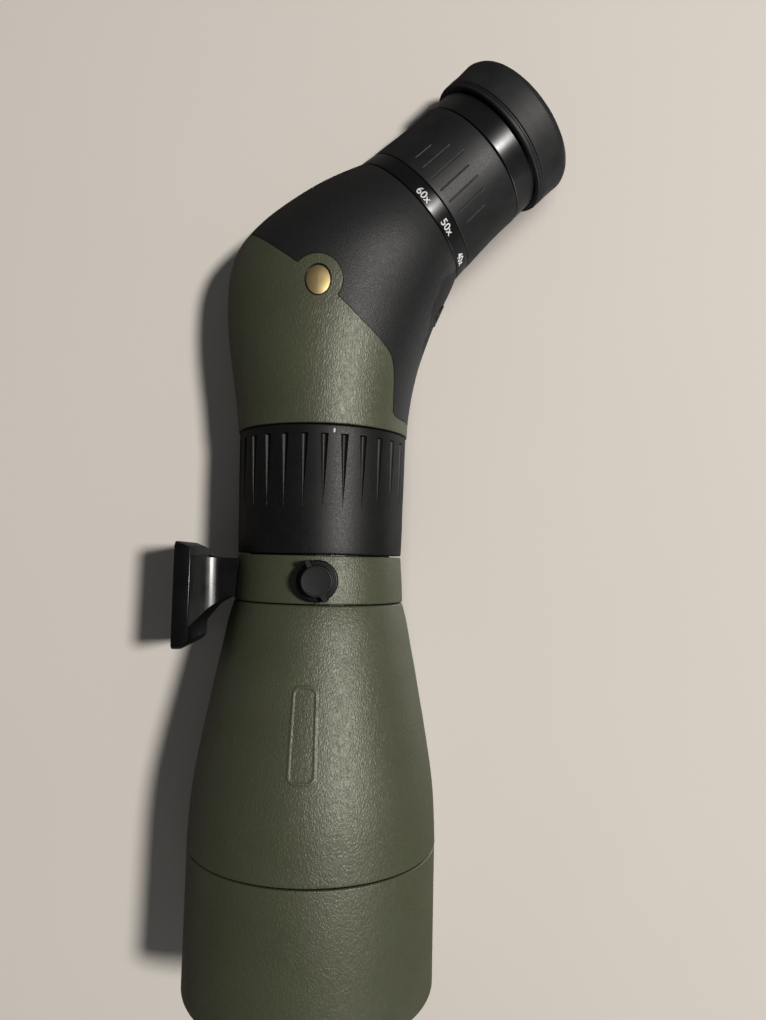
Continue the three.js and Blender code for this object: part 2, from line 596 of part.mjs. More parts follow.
const barrelBlank = turned([
  [38, 17.6], [38, 20.4], [47.3, 20.4], [47.3, R_BARREL], [91.9, R_BARREL],
  [91.9, R_BARREL_BORE], [50, R_BARREL_BORE], [50, 17.6],
], 24);
const barrelSlots = ZOOM_CELLS.map(({ slot: [from, to] }) => box(
  [to - from, 3, 8], [(from + to) / 2, 0, -23.5]));
addToEyepiece('eyepiece_barrel', cut(barrelBlank, ...barrelSlots), aluminium);
addToEyepiece('field_lens', turned([[39.6, 0], [41, 17.2], [44.5, 17.2], [46, 0]], 20), glass);
addToEyepiece('zoom_scale_ring', turned([
  [T_SEAT + GAP, R_ON_BARREL], [T_SEAT + GAP, 30.7], [T_SEAT + 0.6, 31.0],
  [T_GRIP - 0.3, 30.4], [T_GRIP, 30.1], [T_GRIP, 26.6], [84.8, 26.6],
  [84.8, 25.8], [51, 25.8], [51, R_ON_BARREL],
], 28), black);
addToEyepiece('zoom_grip', turned([
  [54.4, 30.2], [60, 29.95], [72, 29.15], [T_UPPER - GAP, 28.9],
  [T_UPPER - GAP, 26.9], [54.4, 26.9],
], 28), rubber);

for (const { name, start, pin, lens } of ZOOM_CELLS) {
  addToEyepiece(`zoom_${name}_cell`, turned([
    [start, R_ZOOM_CELL], [start + 8, R_ZOOM_CELL], [start + 8, R_ZOOM_LENS + GAP],
    [start + 2, R_ZOOM_LENS + GAP], [start + 2, 18], [start, 18],
  ], 20), aluminium);
  addToEyepiece(`zoom_${name}_lens`, turned(lens, 20), glass);
  addToEyepiece(`zoom_${name}_pin`, rod('z', 1.1, -25.3, -22.4, [pin, 0], 8), steel);
}

addToEyepiece('upper_ring', turned([
  [T_UPPER + GAP, R_ON_BARREL], [T_UPPER + GAP, 28.35], [T_UPPER + 0.6, 28.65],
  [95.2, 28.65], [95.2, 26.9], [106.6, 26.9], [106.6, R_ON_BARREL],
], 30), black);
addToEyepiece('eye_lens_cell', turned([
  [92.3, R_BARREL], [106.2, R_BARREL], [106.2, 17], [104.8, 16.2], [103.4, 16.2],
  [103.4, R_EYE_LENS + GAP], [92.3, R_EYE_LENS + GAP],
], 24), aluminium);
addToEyepiece('eye_lens', turned([
  [95.4, 0], [97.2, R_EYE_LENS], [101, R_EYE_LENS], [103, 0],
], 20), glass);
addToEyepiece('eye_lens_retainer', tube(92.8, 96.9, 16.2, R_EYE_LENS, 20), aluminium);
addToEyepiece('eyecup_guide_sleeve', tube(97, 108.8, 27.25, 28.25, 30), aluminium);
addToEyepiece('eyecup_shell', turned([
  [T_CUP, 28.6], [T_CUP, 30.7], [T_CUP + 0.3, 31.0], [98.5, 31.0], [98.6, 29.3],
  [110.6, 29.3], [110.6, 22.5], [109.2, 22.5], [109.2, 28.6],
], 30), black);
addToEyepiece('eyecup_rubber', turned([
  [98.9, 29.6], [98.9, 30.95], [110.5, 31.25], [112.5, 30.65],
  [T_END, 28.5], [110.9, 22.4], [110.9, 29.6],
], 30), rubber);

export default scope;
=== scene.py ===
"""Spotting scope with an angled eyepiece, a tripod collar and a sunshade.

Shapes are written in gauge millimetres: the main axis runs along X at height 0, the objective
faces +X, the eyepiece rises at 45 degrees towards -X and +Z, the collar knob faces -Y and the
foot points to -Z. In the scene (metres, +Z up) the foot plate stands on z = 0, centred on x = 0.
"""

import json
import math
import bpy
import bmesh
import numpy as np
from mathutils import Matrix, Vector


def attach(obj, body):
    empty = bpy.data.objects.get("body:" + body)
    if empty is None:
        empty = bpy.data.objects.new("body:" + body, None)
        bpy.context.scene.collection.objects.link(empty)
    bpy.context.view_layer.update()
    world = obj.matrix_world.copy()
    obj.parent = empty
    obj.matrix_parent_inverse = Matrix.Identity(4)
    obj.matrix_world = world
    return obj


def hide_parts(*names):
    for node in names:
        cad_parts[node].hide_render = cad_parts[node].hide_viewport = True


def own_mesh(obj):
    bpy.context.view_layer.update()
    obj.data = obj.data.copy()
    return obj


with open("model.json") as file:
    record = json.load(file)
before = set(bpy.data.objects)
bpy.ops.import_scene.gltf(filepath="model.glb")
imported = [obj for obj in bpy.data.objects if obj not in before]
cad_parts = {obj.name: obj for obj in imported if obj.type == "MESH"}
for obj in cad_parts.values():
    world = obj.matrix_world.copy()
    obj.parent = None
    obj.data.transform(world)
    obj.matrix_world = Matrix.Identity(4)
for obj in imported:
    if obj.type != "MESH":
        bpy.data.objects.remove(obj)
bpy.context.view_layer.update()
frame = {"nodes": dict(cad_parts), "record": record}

# ---------------------------------------------------------------- gauge
AXIS_HEIGHT = 56.2      # main axis above the underside of the foot
FOOT_X = 16.0           # middle of the foot plate
BEND_X = -110.6         # where the eyepiece axis meets the main axis
COS_45 = math.sqrt(0.5)
EYE_ORIGIN = np.array([BEND_X, 0.0, 0.0])
EYE_ALONG = np.array([-COS_45, 0.0, COS_45])    # along the eyepiece axis
EYE_UPPER = np.array([COS_45, 0.0, COS_45])     # angle 0: the upper side, towards the objective
EYE_SIDE = np.array([0.0, -1.0, 0.0])           # angle 90: the knob side


def to_scene(points):
    """Gauge millimetres to scene metres."""
    return (np.asarray(points, float) + np.array([-FOOT_X, 0.0, AXIS_HEIGHT])) * 0.001


def main_point(along, radius, angle):
    """Point about the main axis; angle 0 faces -Y, 90 faces +Z."""
    along, radius, angle = np.broadcast_arrays(along, radius, angle)
    return np.stack([along, -radius * np.cos(angle), radius * np.sin(angle)], -1)


def eye_point(along, radius, angle):
    """Point about the eyepiece axis."""
    along, radius, angle = np.broadcast_arrays(along, radius, angle)
    return (EYE_ORIGIN + along[..., None] * EYE_ALONG
            + (radius * np.cos(angle))[..., None] * EYE_UPPER
            + (radius * np.sin(angle))[..., None] * EYE_SIDE)


def side_place(x, z, squeeze=0.0):
    """Place function about a line along Y; squeeze is taken off the radius in z."""
    def place(out, radius, angle):
        out, radius, angle = np.broadcast_arrays(out, radius, angle)
        return np.stack([x + radius * np.cos(angle), -out,
                         z + (radius - squeeze) * np.sin(angle)], -1)
    return place


# ---------------------------------------------------------------- mesh helpers
def shade(part, sharp):
    """Smooth shading, with edges over `sharp` degrees kept hard."""
    for polygon in part.data.polygons:
        polygon.use_smooth = True
    part.data.set_sharp_from_angle(angle=math.radians(sharp))


def make_object(name, points, faces, sharp=32.0):
    """Object from gauge points, its doubles merged and its normals facing out."""
    mesh = bpy.data.meshes.new(name)
    mesh.from_pydata([tuple(point) for point in to_scene(points)], [], faces)
    edit = bmesh.new()
    edit.from_mesh(mesh)
    bmesh.ops.remove_doubles(edit, verts=edit.verts, dist=1e-7)
    bmesh.ops.recalc_face_normals(edit, faces=edit.faces)
    edit.to_mesh(mesh)
    edit.free()
    part = bpy.data.objects.new(name, mesh)
    shade(part, sharp)
    bpy.context.scene.collection.objects.link(part)
    return part


def rewound(faces):
    """The faces wound the other way, from the same first vertex."""
    return [(face[0], *face[:0:-1]) for face in faces]


def tube_faces(rings, around, first=0, closed=False):
    """Quads between successive rings; closed also joins the last ring to the first."""
    faces = []
    for i in range(rings if closed else rings - 1):
        here = first + i * around
        there = first + (i + 1) % rings * around
        for j in range(around):
            k = (j + 1) % around
            faces.append((here + j, here + k, there + k, there + j))
    return faces


def fillet(outline, steps=6):
    """Closed outline of (along, radius[, corner radius]) with its corners rounded."""
    rounded = []
    for i, (along, radius, *corner) in enumerate(outline):
        point = np.array((along, radius), float)
        if not corner:
            rounded.append(tuple(point))
            continue
        before = np.array(outline[i - 1][:2], float) - point
        after = np.array(outline[(i + 1) % len(outline)][:2], float) - point
        length_before, length_after = np.linalg.norm(before), np.linalg.norm(after)
        before, after = before / length_before, after / length_after
        opening = math.acos(max(-1, min(1, float(before @ after))))
        if opening > math.pi - 0.02:
            rounded.append(tuple(point))
            continue
        cut = min(corner[0] / math.tan(opening / 2), length_before * 0.49, length_after * 0.49)
        bend = cut * math.tan(opening / 2)
        middle = (before + after) / np.linalg.norm(before + after)
        centre = point + middle * (bend / math.sin(opening / 2))
        start, end = point + before * cut - centre, point + after * cut - centre
        first = math.atan2(start[1], start[0])
        sweep = (math.atan2(end[1], end[0]) - first + math.pi) % (2 * math.pi) - math.pi
        for k in range(steps + 1):
            angle = first + sweep * k / steps
            rounded.append((centre[0] + bend * math.cos(angle),
                            centre[1] + bend * math.sin(angle)))
    return rounded


def lathe(name, outline, place=main_point, segments=220, steps=6, sharp=32.0, flip=False):
    """Body of revolution from a closed outline; its points at radius 0 meet on the axis."""
    angles = np.linspace(0, 2 * math.pi, segments, endpoint=False)
    points, rings = [], []
    for along, radius in fillet(outline, steps):
        ring = place(along, radius, angles if radius >= 1e-6 else angles[:1])
        rings.append(range(len(points), len(points) + len(ring)))
        points.extend(ring)
    faces = []
    for i, here in enumerate(rings):
        there = rings[(i + 1) % len(rings)]
        if len(here) == len(there) == 1:
            continue
        for j in range(segments):
            k = (j + 1) % segments
            if len(here) == 1:
                faces.append((here[0], there[k], there[j]))
            elif len(there) == 1:
                faces.append((here[j], here[k], there[0]))
            else:
                faces.append((here[j], here[k], there[k], there[j]))
    return make_object(name, np.array(points), rewound(faces) if flip else faces, sharp)


def skin(name, stations, angles, radius, inner, place=main_point, sharp=35):
    """Sleeve with outer radius radius(along, angle) over a plain inner radius inner(along).
    angles is one row, or a row for each station so that the columns can follow a shape."""
    along, angle = np.broadcast_arrays(stations[:, None], angles)
    outer = place(along, radius(along, angle), angle)
    bore_rings = 12
    bore_along = np.linspace(stations[0], stations[-1], bore_rings)[:, None]
    bore = place(bore_along, inner(bore_along), angle[0])
    columns, first = angle.shape[1], angle.size
    last, bore_last = first - columns, first + (bore_rings - 1) * columns
    faces = tube_faces(len(stations), columns) + rewound(tube_faces(bore_rings, columns, first))
    for j in range(columns):
        k = (j + 1) % columns
        faces.append((j, first + j, first + k, k))
        faces.append((last + j, last + k, bore_last + k, bore_last + j))
    points = np.concatenate([outer.reshape(-1, 3), bore.reshape(-1, 3)])
    return make_object(name, points, faces, sharp)


def prism(name, near, far, flip=False):
    """Solid between two matching loops of points; flip reverses the winding."""
    count = len(near)
    caps = [tuple(range(count)), tuple(range(2 * count - 1, count - 1, -1))]
    sides = [(i, count + i, count + (i + 1) % count, (i + 1) % count) for i in range(count)]
    if flip:
        caps = [cap[::-1] for cap in caps]
        sides = rewound(sides)
    return make_object(name, np.concatenate([near, far]), caps + sides)


def extrude(name, outline, axis, start, end):
    """Solid from an outline in the other two axes, from start to end along the named axis."""
    near, far = (np.insert(np.array(outline, float), "xyz".index(axis), level, axis=1)
                 for level in (start, end))
    return prism(name, near, far, flip=axis == "z")


def oval(centre, half_sizes, count):
    """Outline of an ellipse."""
    turns = [2 * math.pi * k / count for k in range(count)]
    return [(centre[0] + half_sizes[0] * math.cos(turn),
             centre[1] + half_sizes[1] * math.sin(turn)) for turn in turns]


def z_cylinder(name, x, radius, bottom, top, count=64):
    return extrude(name, oval((x, 0), (radius, radius), count), "z", bottom, top)


def dome(edge, rise, rim, radii, power=2):
    """Outline points of a curved face that stands at `edge` at the rim radius."""
    return [(edge + rise * (1 - (radius / rim) ** power), radius) for radius in radii]


def bake(part):
    """Replace the mesh by its modified form."""
    bpy.context.view_layer.update()
    evaluated = part.evaluated_get(bpy.context.evaluated_depsgraph_get())
    mesh = bpy.data.meshes.new_from_object(evaluated)
    part.modifiers.clear()
    old = part.data
    part.data = mesh
    bpy.data.meshes.remove(old)


def boolean(part, other, operation, solver="MANIFOLD"):
    """Combine part with other, and remove other."""
    modifier = part.modifiers.new("cut", "BOOLEAN")
    modifier.operation = operation
    modifier.object = other
    modifier.solver = solver
    bake(part)
    bpy.data.objects.remove(other)


def bevel(part, width, segments, angle):
    modifier = part.modifiers.new("edge", "BEVEL")
    modifier.width = width * 0.001
    modifier.segments = segments
    modifier.limit_method = "ANGLE"
    modifier.angle_limit = math.radians(angle)
    modifier.harden_normals = False
    modifier.use_clamp_overlap = True


def smoothstep(low, high, value):
    share = np.clip((value - low) / (high - low), 0, 1)
    return share * share * (3 - 2 * share)


def curve_through(table, at):
    """Smooth curve through a table of (position, value), read at the positions `at`."""
    xs, values = np.transpose(table)
    slope = np.gradient(values, xs)
    i = np.clip(np.searchsorted(xs, at) - 1, 0, len(xs) - 2)
    step = xs[i + 1] - xs[i]
    t = np.clip((at - xs[i]) / step, 0, 1)
    return ((2 * t ** 3 - 3 * t ** 2 + 1) * values[i]
            + (t ** 3 - 2 * t ** 2 + t) * step * slope[i]
            + (-2 * t ** 3 + 3 * t ** 2) * values[i + 1]
            + (t ** 3 - t ** 2) * step * slope[i + 1])


def spline_at(points, s):
    """Catmull-Rom spline through rows of points; whole values of s fall on the rows."""
    last = len(points) - 1
    i = min(int(s), last - 1)
    t = s - i
    p1, p2 = points[i], points[i + 1]
    p0 = points[i - 1] if i > 0 else 2 * p1 - p2
    p3 = points[i + 2] if i + 2 <= last else 2 * p2 - p1
    return 0.5 * (2 * p1 + (p2 - p0) * t + (2 * p0 - 5 * p1 + 4 * p2 - p3) * t * t
                  + (3 * p1 - p0 - 3 * p2 + p3) * t ** 3)


def spline(points, steps=5):
    points = np.array(points, float)
    return [tuple(spline_at(points, k / steps)) for k in range((len(points) - 1) * steps + 1)]


# The ends of a sleeve are given as (start, end, rounding at start, rounding at end).
def end_loss(along, start, end, round_start, round_end):
    """Radius lost to the rounded ends."""
    loss = 0
    for size, inside in ((round_start, along - start), (round_end, end - along)):
        depth = np.clip(size - inside, 0, size)
        loss = loss + size - np.sqrt(np.maximum(size * size - depth * depth, 0))
    return loss


def end_stations(start, end, round_start, round_end, count, steps=7):
    """Stations from start to end, packed towards the rounded ends."""
    packed = [1 - math.cos(math.pi / 2 * i / steps) for i in range(steps)]
    return np.array([start + round_start * share for share in packed]
                    + list(np.linspace(start + round_start, end - round_end, count))
                    + [end - round_end * share for share in reversed(packed)])


# ---------------------------------------------------------------- materials
class Shader:
    """A material with a Principled surface, and short forms for the nodes that feed it."""

    def __init__(self, name):
        self.material = bpy.data.materials.new(name)
        self.material.use_nodes = True
        self.tree = self.material.node_tree
        self.surface = self.tree.nodes["Principled BSDF"]
        self.coords = self.node("ShaderNodeTexCoord").outputs["Object"]

    def node(self, kind, **settings):
        node = self.tree.nodes.new(kind)
        for key, value in settings.items():
            setattr(node, key, value)
        return node

    def feed(self, socket, value):
        """Link a socket, or set its value."""
        if isinstance(value, bpy.types.NodeSocket):
            self.tree.links.new(value, socket)
        elif socket.type == "RGBA":
            socket.default_value = (*value, 1)
        else:
            socket.default_value = value

    def fill(self, node, **inputs):
        for key, value in inputs.items():
            self.feed(node.inputs[key.replace("_", " ")], value)
        return node

    def set(self, **inputs):
        self.fill(self.surface, **inputs)

    def mapping(self, scale=(1, 1, 1)):
        node = self.fill(self.node("ShaderNodeMapping"), Scale=scale, Vector=self.coords)
        return node.outputs["Vector"]

    def noise(self, scale, detail, rough=0.55, distortion=0.0, vector=None, output="Fac"):
        vector = vector or self.mapping()
        node = self.fill(self.node("ShaderNodeTexNoise"), Scale=scale, Detail=detail,
                         Roughness=rough, Distortion=distortion, Vector=vector)
        return node.outputs[output]

    def math(self, operation, *values, clamp=False):
        node = self.node("ShaderNodeMath", operation=operation, use_clamp=clamp)
        for i, value in enumerate(values):
            self.feed(node.inputs[i], value)
        return node.outputs[0]

    def vector_math(self, operation, *values):
        node = self.node("ShaderNodeVectorMath", operation=operation)
        for i, value in enumerate(values):
            self.feed(node.inputs[i], value)
        return node

    def remap(self, value, source, target):
        """Carry one range of values over to another."""
        node = self.node("ShaderNodeMapRange")
        for i, item in enumerate((value, *source, *target)):
            self.feed(node.inputs[i], item)
        return node.outputs[0]

    def mix(self, factor, first, second):
        node = self.node("ShaderNodeMix", data_type="RGBA")
        for i, value in ((0, factor), (6, first), (7, second)):
            self.feed(node.inputs[i], value)
        return node.outputs[2]

    def bump(self, height, strength, distance_mm, **normal):
        node = self.fill(self.node("ShaderNodeBump"), Strength=strength,
                         Distance=distance_mm * 0.001, Height=height, **normal)
        return node.outputs["Normal"]

    def matte_rim(self, level, share=0.15):
        """Specular level that fades to a share of itself where the surface turns away."""
        node = self.fill(self.node("ShaderNodeLayerWeight"), Blend=0.5)
        return self.remap(node.outputs["Facing"], (0.25, 0.80), (level, level * share))

    def lathe_lines(self, axis, scale):
        """Noise that varies only along an axis."""
        dot = self.vector_math("DOT_PRODUCT", self.coords, axis)
        along = self.node("ShaderNodeCombineXYZ")
        self.feed(along.inputs[0], dot.outputs["Value"])
        return self.noise(scale, detail=4.0, rough=0.7, vector=along.outputs[0])


def grain_rubber(name, dark, light, cell, stretch, rough, strength, spec, wrinkle=0.5,
                 tint=(1.0, 1.0, 0.90)):
    """Rubber with a leather-like grain: pebbled cells drawn out along X, wrinkles between
    them, and a fine matte tooth."""
    mat = Shader(name)
    warp = mat.noise(330.0, detail=3.0, rough=0.5, vector=mat.coords, output="Color")
    shift = mat.fill(mat.vector_math("SCALE", warp), Scale=0.0022)
    grain = mat.vector_math("ADD", mat.mapping((stretch, 1.0, 1.0)), shift.outputs[0]).outputs[0]
    cells = mat.fill(mat.node("ShaderNodeTexVoronoi", feature="DISTANCE_TO_EDGE"),
                     Scale=cell, Vector=grain)
    pebble = mat.remap(cells.outputs["Distance"], (0.0, 0.38), (0.0, 1.0))
    wrinkles = mat.noise(cell * 0.62, detail=4.0, rough=0.62, distortion=0.9, vector=grain)
    tooth = mat.noise(3600.0, detail=3.0, rough=0.6)
    patches = mat.noise(48.0, detail=3.0)
    # shares of the three reliefs in the height
    height = mat.math("ADD", mat.math("ADD", mat.math("MULTIPLY", pebble, 0.55),
                                      mat.math("MULTIPLY", wrinkles, wrinkle)),
                      mat.math("MULTIPLY", tooth, 0.30))
    # shares of the cells and the patches in the colour: the patches vary at random, and the cells
    # add painted shade in the creases between them
    patches_and_crease_shade = mat.math("ADD", mat.math("MULTIPLY", pebble, 0.28),
                    mat.math("MULTIPLY", patches, 0.72), clamp=True)
    gloss = mat.math("ADD", mat.math("MULTIPLY", tooth, 0.5), mat.math("MULTIPLY", wrinkles, 0.5))
    mat.set(Base_Color=mat.mix(patches_and_crease_shade, dark, light), Roughness=mat.remap(gloss, (0.3, 0.7), rough),
            Normal=mat.bump(height, strength, distance_mm=0.20),
            Specular_IOR_Level=mat.matte_rim(spec), Specular_Tint=tint)
    return mat.material


def plain_rubber(name, dark, light, rough, fine=5200.0, strength=0.35, spec=0.45):
    """Matte rubber or plastic; fine is the scale of its tooth."""
    mat = Shader(name)
    tooth = mat.noise(fine, detail=3.0, rough=0.65)
    patches = mat.noise(130.0, detail=3.0)
    mat.set(Base_Color=mat.mix(mat.remap(patches, (0.3, 0.7), (0.0, 1.0)), dark, light),
            Roughness=mat.remap(tooth, (0.3, 0.7), rough),
            Normal=mat.bump(tooth, strength, distance_mm=0.05),
            Specular_IOR_Level=mat.matte_rim(spec))
    return mat.material


def lacquer(name, color, rough, turned=None, spec=0.5):
    """Smooth black finish with faint handling marks; turned is the axis of lathe lines."""
    mat = Shader(name)
    smudge = mat.noise(95.0, detail=4.0, rough=0.6)
    fine = mat.noise(3800.0, detail=2.0)
    gloss = mat.math("ADD", mat.math("MULTIPLY", smudge, 0.65), mat.math("MULTIPLY", fine, 0.35))
    roughness = mat.remap(gloss, (0.35, 0.65), rough)
    normal = mat.bump(fine, strength=0.10, distance_mm=0.02)
    if turned:
        lines = mat.lathe_lines(turned, scale=5200.0)
        normal = mat.bump(lines, strength=0.35, distance_mm=0.03, Normal=normal)
        tangent = mat.fill(mat.node("ShaderNodeCombineXYZ"), **dict(zip("XYZ", turned)))
        mat.set(Anisotropic=0.75, Tangent=tangent.outputs[0])
    lighter = tuple(min(1, channel * 1.5 + 0.001) for channel in color)
    mat.set(Base_Color=mat.mix(smudge, color, lighter), Roughness=roughness,
            Coat_Roughness=0.08, Normal=normal,
            Specular_IOR_Level=mat.matte_rim(spec, share=0.3))
    return mat.material


def metal(name, color, rough, turned=(1, 0, 0)):
    """Metal with fine lathe lines about the turned axis."""
    mat = Shader(name)
    lines = mat.lathe_lines(turned, scale=6500.0)
    cloud = mat.noise(160.0, detail=3.0)
    mat.set(Base_Color=mat.mix(cloud, color, tuple(channel * 1.25 for channel in color)),
            Metallic=1.0, Roughness=mat.remap(lines, (0.3, 0.7), rough),
            Normal=mat.bump(lines, strength=0.2, distance_mm=0.02))
    return mat.material


def coated_glass(name, tint, film):
    """Lens glass with a trace of dust; film is the coating thickness in nanometres."""
    mat = Shader(name)
    dust = mat.noise(700.0, detail=4.0, rough=0.7)
    mat.set(Base_Color=tint, Roughness=mat.remap(dust, (0.5, 0.8), (0.0, 0.035)), IOR=1.52,
            Transmission_Weight=1.0, Thin_Film_Thickness=film, Thin_Film_IOR=1.38)
    return mat.material


def paint_mark(name, color):
    mat = Shader(name)
    tooth = mat.noise(4200.0, detail=3.0)
    darker = tuple(channel * 0.82 for channel in color)
    mat.set(Base_Color=mat.mix(mat.remap(tooth, (0.3, 0.7), (0.0, 1.0)), color, darker),
            Roughness=0.5, Normal=mat.bump(tooth, strength=0.2, distance_mm=0.02))
    return mat.material


GREEN = {"dark": (0.046, 0.051, 0.026), "light": (0.076, 0.082, 0.047)}
EYE_AXIS = tuple(EYE_ALONG)
RING_BLACK = (0.0025, 0.0025, 0.003)
ANODISED = (0.030, 0.030, 0.033)
FINISH = {
    "green": grain_rubber("armour_green", **GREEN, cell=980.0, stretch=0.45,
                          rough=(0.38, 0.54), strength=0.58, wrinkle=0.65, spec=0.74),
    "green_cone": grain_rubber("armour_green_body", **GREEN, cell=1050.0, stretch=0.55,
                               rough=(0.38, 0.54), strength=0.58, wrinkle=0.7, spec=0.76),
    "collar": grain_rubber("collar_green", **GREEN, cell=1050.0, stretch=0.55,
                           rough=(0.38, 0.52), strength=0.52, wrinkle=0.7, spec=0.62),
    "black": grain_rubber("armour_black", dark=(0.0068, 0.0068, 0.0072),
                          light=(0.0138, 0.0138, 0.0142), cell=1400.0, stretch=0.8,
                          rough=(0.44, 0.58), strength=0.36, spec=0.45, tint=(1.0, 1.0, 1.0)),
    "grip": plain_rubber("grip_rubber", dark=(0.0026, 0.0026, 0.0028),
                         light=(0.0060, 0.0058, 0.0058), rough=(0.42, 0.56), fine=1500.0,
                         strength=0.95, spec=0.34),
    "eyegrip": plain_rubber("eyepiece_grip_rubber", dark=(0.0068, 0.0068, 0.0072),
                            light=(0.0130, 0.0130, 0.0135), rough=(0.44, 0.58), fine=2000.0,
                            strength=0.8),
    "eyecup": plain_rubber("eyecup_rubber", dark=(0.0100, 0.0100, 0.0105),
                           light=(0.0180, 0.0180, 0.0185), rough=(0.50, 0.66), fine=3600.0,
                           strength=0.5),
    "gloss": lacquer("foot_black", color=(0.0008, 0.0008, 0.0011), rough=(0.19, 0.28)),
    "scale": lacquer("scale_ring_black", color=RING_BLACK, rough=(0.30, 0.42),
                     turned=EYE_AXIS, spec=0.6),
    "upper": lacquer("upper_ring_black", color=RING_BLACK, rough=(0.33, 0.45),
                     turned=EYE_AXIS, spec=0.95),
    "badge_rim": lacquer("badge_rim_black", color=(0.003, 0.003, 0.003), rough=(0.30, 0.42)),
    "cupshell": plain_rubber("eyecup_ring", dark=(0.0080, 0.0080, 0.0085),
                             light=(0.0130, 0.0130, 0.0135), rough=(0.46, 0.60)),
    "satin": plain_rubber("satin_plastic", dark=(0.009, 0.009, 0.0095),
                          light=(0.015, 0.015, 0.0155), rough=(0.32, 0.44), fine=3600.0,
                          strength=0.25, spec=0.5),
    "knob": plain_rubber("knob_plastic", dark=(0.0060, 0.0060, 0.0064),
                         light=(0.0105, 0.0105, 0.0110), rough=(0.42, 0.54), fine=3000.0,
                         strength=0.4, spec=0.35),
    "knob_skirt": plain_rubber("knob_skirt_plastic", dark=(0.0022, 0.0022, 0.0024),
                               light=(0.0042, 0.0042, 0.0045), rough=(0.34, 0.46),
                               fine=3000.0, strength=0.4, spec=0.25),
    "anodised": metal("anodised_black", color=ANODISED, rough=(0.38, 0.52)),
    "anodised_eye": metal("anodised_black_eyepiece", color=ANODISED, rough=(0.38, 0.52),
                          turned=EYE_AXIS),
    "steel": metal("steel", color=(0.50, 0.50, 0.51), rough=(0.26, 0.36)),
    "brass": metal("brass", color=(0.62, 0.45, 0.20), rough=(0.28, 0.38)),
    "gold": metal("badge_gold", color=(0.40, 0.31, 0.15), rough=(0.40, 0.54), turned=(0, 0, 1)),
    "glass": coated_glass("coated_glass", tint=(0.93, 0.97, 0.98), film=420.0),
    "eye_glass": coated_glass("coated_eye_glass", tint=(0.95, 0.96, 0.99), film=360.0),
    "white": paint_mark("white_mark", color=(0.75, 0.74, 0.71)),
}

# record slot -> finish, for the CAD nodes that are carried over
SLOT_FINISH = {
    "green_armour": "green", "collar_green": "collar", "black_armour": "black",
    "black_rubber": "grip", "gloss_black": "gloss", "satin_black": "satin",
    "anodised": "anodised", "glass": "glass", "steel": "steel", "brass": "brass",
    "gold": "gold"}


def finish_cad_nodes():
    for subpart in frame["record"]["subparts"]:
        node = frame["nodes"].get(subpart["node"])
        if node is None:
            continue
        finish = SLOT_FINISH[subpart["material_slot"]]
        if finish == "anodised" and subpart["node"].startswith(("eye", "zoom", "upper")):
            finish = "anodised_eye"
        if not node.material_slots:
            node.data.materials.append(FINISH[finish])
        for slot in node.material_slots:
            slot.link = "OBJECT"
            slot.material = FINISH[finish]


finish_cad_nodes()


def dress(part, body, finish, node=None):
    """Give a part its finish, the body it moves with and the CAD node it replaces."""
    part.data.materials.clear()
    part.data.materials.append(FINISH[finish])
    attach(part, body)
    if node:
        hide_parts(node)
    return part


def index_mark(name, body, place, centre, half_sizes, surface, top, bottom, count):
    """Painted oval on a round surface; centre is (along, angle), surface turns mm to angle."""
    half_along, half_across = half_sizes
    along, angle = np.transpose(oval(centre, (half_along, half_across / surface), count))
    mark = prism(name, place(along, top, angle), place(along, bottom, angle))
    dress(mark, body, "white")


# ---------------------------------------------------------------- sunshade and objective end
SHADE_BACK, SHADE_FRONT, SHADE_RADIUS = 113.94, 169.39, 49.89
BARREL_BORE = 43.4
LENS_RADIUS = 41.0

# outlines here and below are (along, radius[, corner radius])
SHADE_COVER = [
    (SHADE_BACK + 0.40, 49.80, 0.8), (SHADE_FRONT, SHADE_RADIUS, 1.9), (SHADE_FRONT, 45.2, 0.8),
    (165.3, 45.2, 0.2), (165.3, 48.3), (SHADE_BACK + 0.40, 48.3, 0.2)]
SHADE_TUBE = [(SHADE_BACK + 0.45, 47.05, 0.2), (SHADE_BACK + 0.45, 48.0, 0.2),
              (164.9, 48.0, 0.2), (164.9, 47.05, 0.2)]


def barrel_outline():
    """Objective barrel with fine ribs inside its front end."""
    rib_front, rib_back, pitch, groove_radius = 163.3, 157.9, 0.9, 44.1
    outline = [(101.4, 45.6), (113.9, 45.6), (113.9, 46.6), (163.6, 46.6, 0.3),
               (163.6, 43.6, 0.1)]
    x = rib_front
    while x > rib_back:
        outline += [(x, BARREL_BORE), (x - pitch / 2, groove_radius), (x - pitch, BARREL_BORE)]
        x -= pitch
    return outline + [(101.4, BARREL_BORE)]


LENS_RINGS = (37, 33, 29, 25, 21, 17, 13, 9, 5, 0)
FRONT_LENS = [(136.4, 0), (136.9, 18), (137.75, 30), (138.8, LENS_RADIUS, 0.2),
              (142.0, LENS_RADIUS, 0.2)] + dome(142.0, 5.8, LENS_RADIUS, LENS_RINGS)
REAR_LENS = [(131.0, 0), (131.0, LENS_RADIUS, 0.2),
             (137.2, LENS_RADIUS, 0.2)] + dome(137.2, -2.4, LENS_RADIUS, LENS_RINGS)

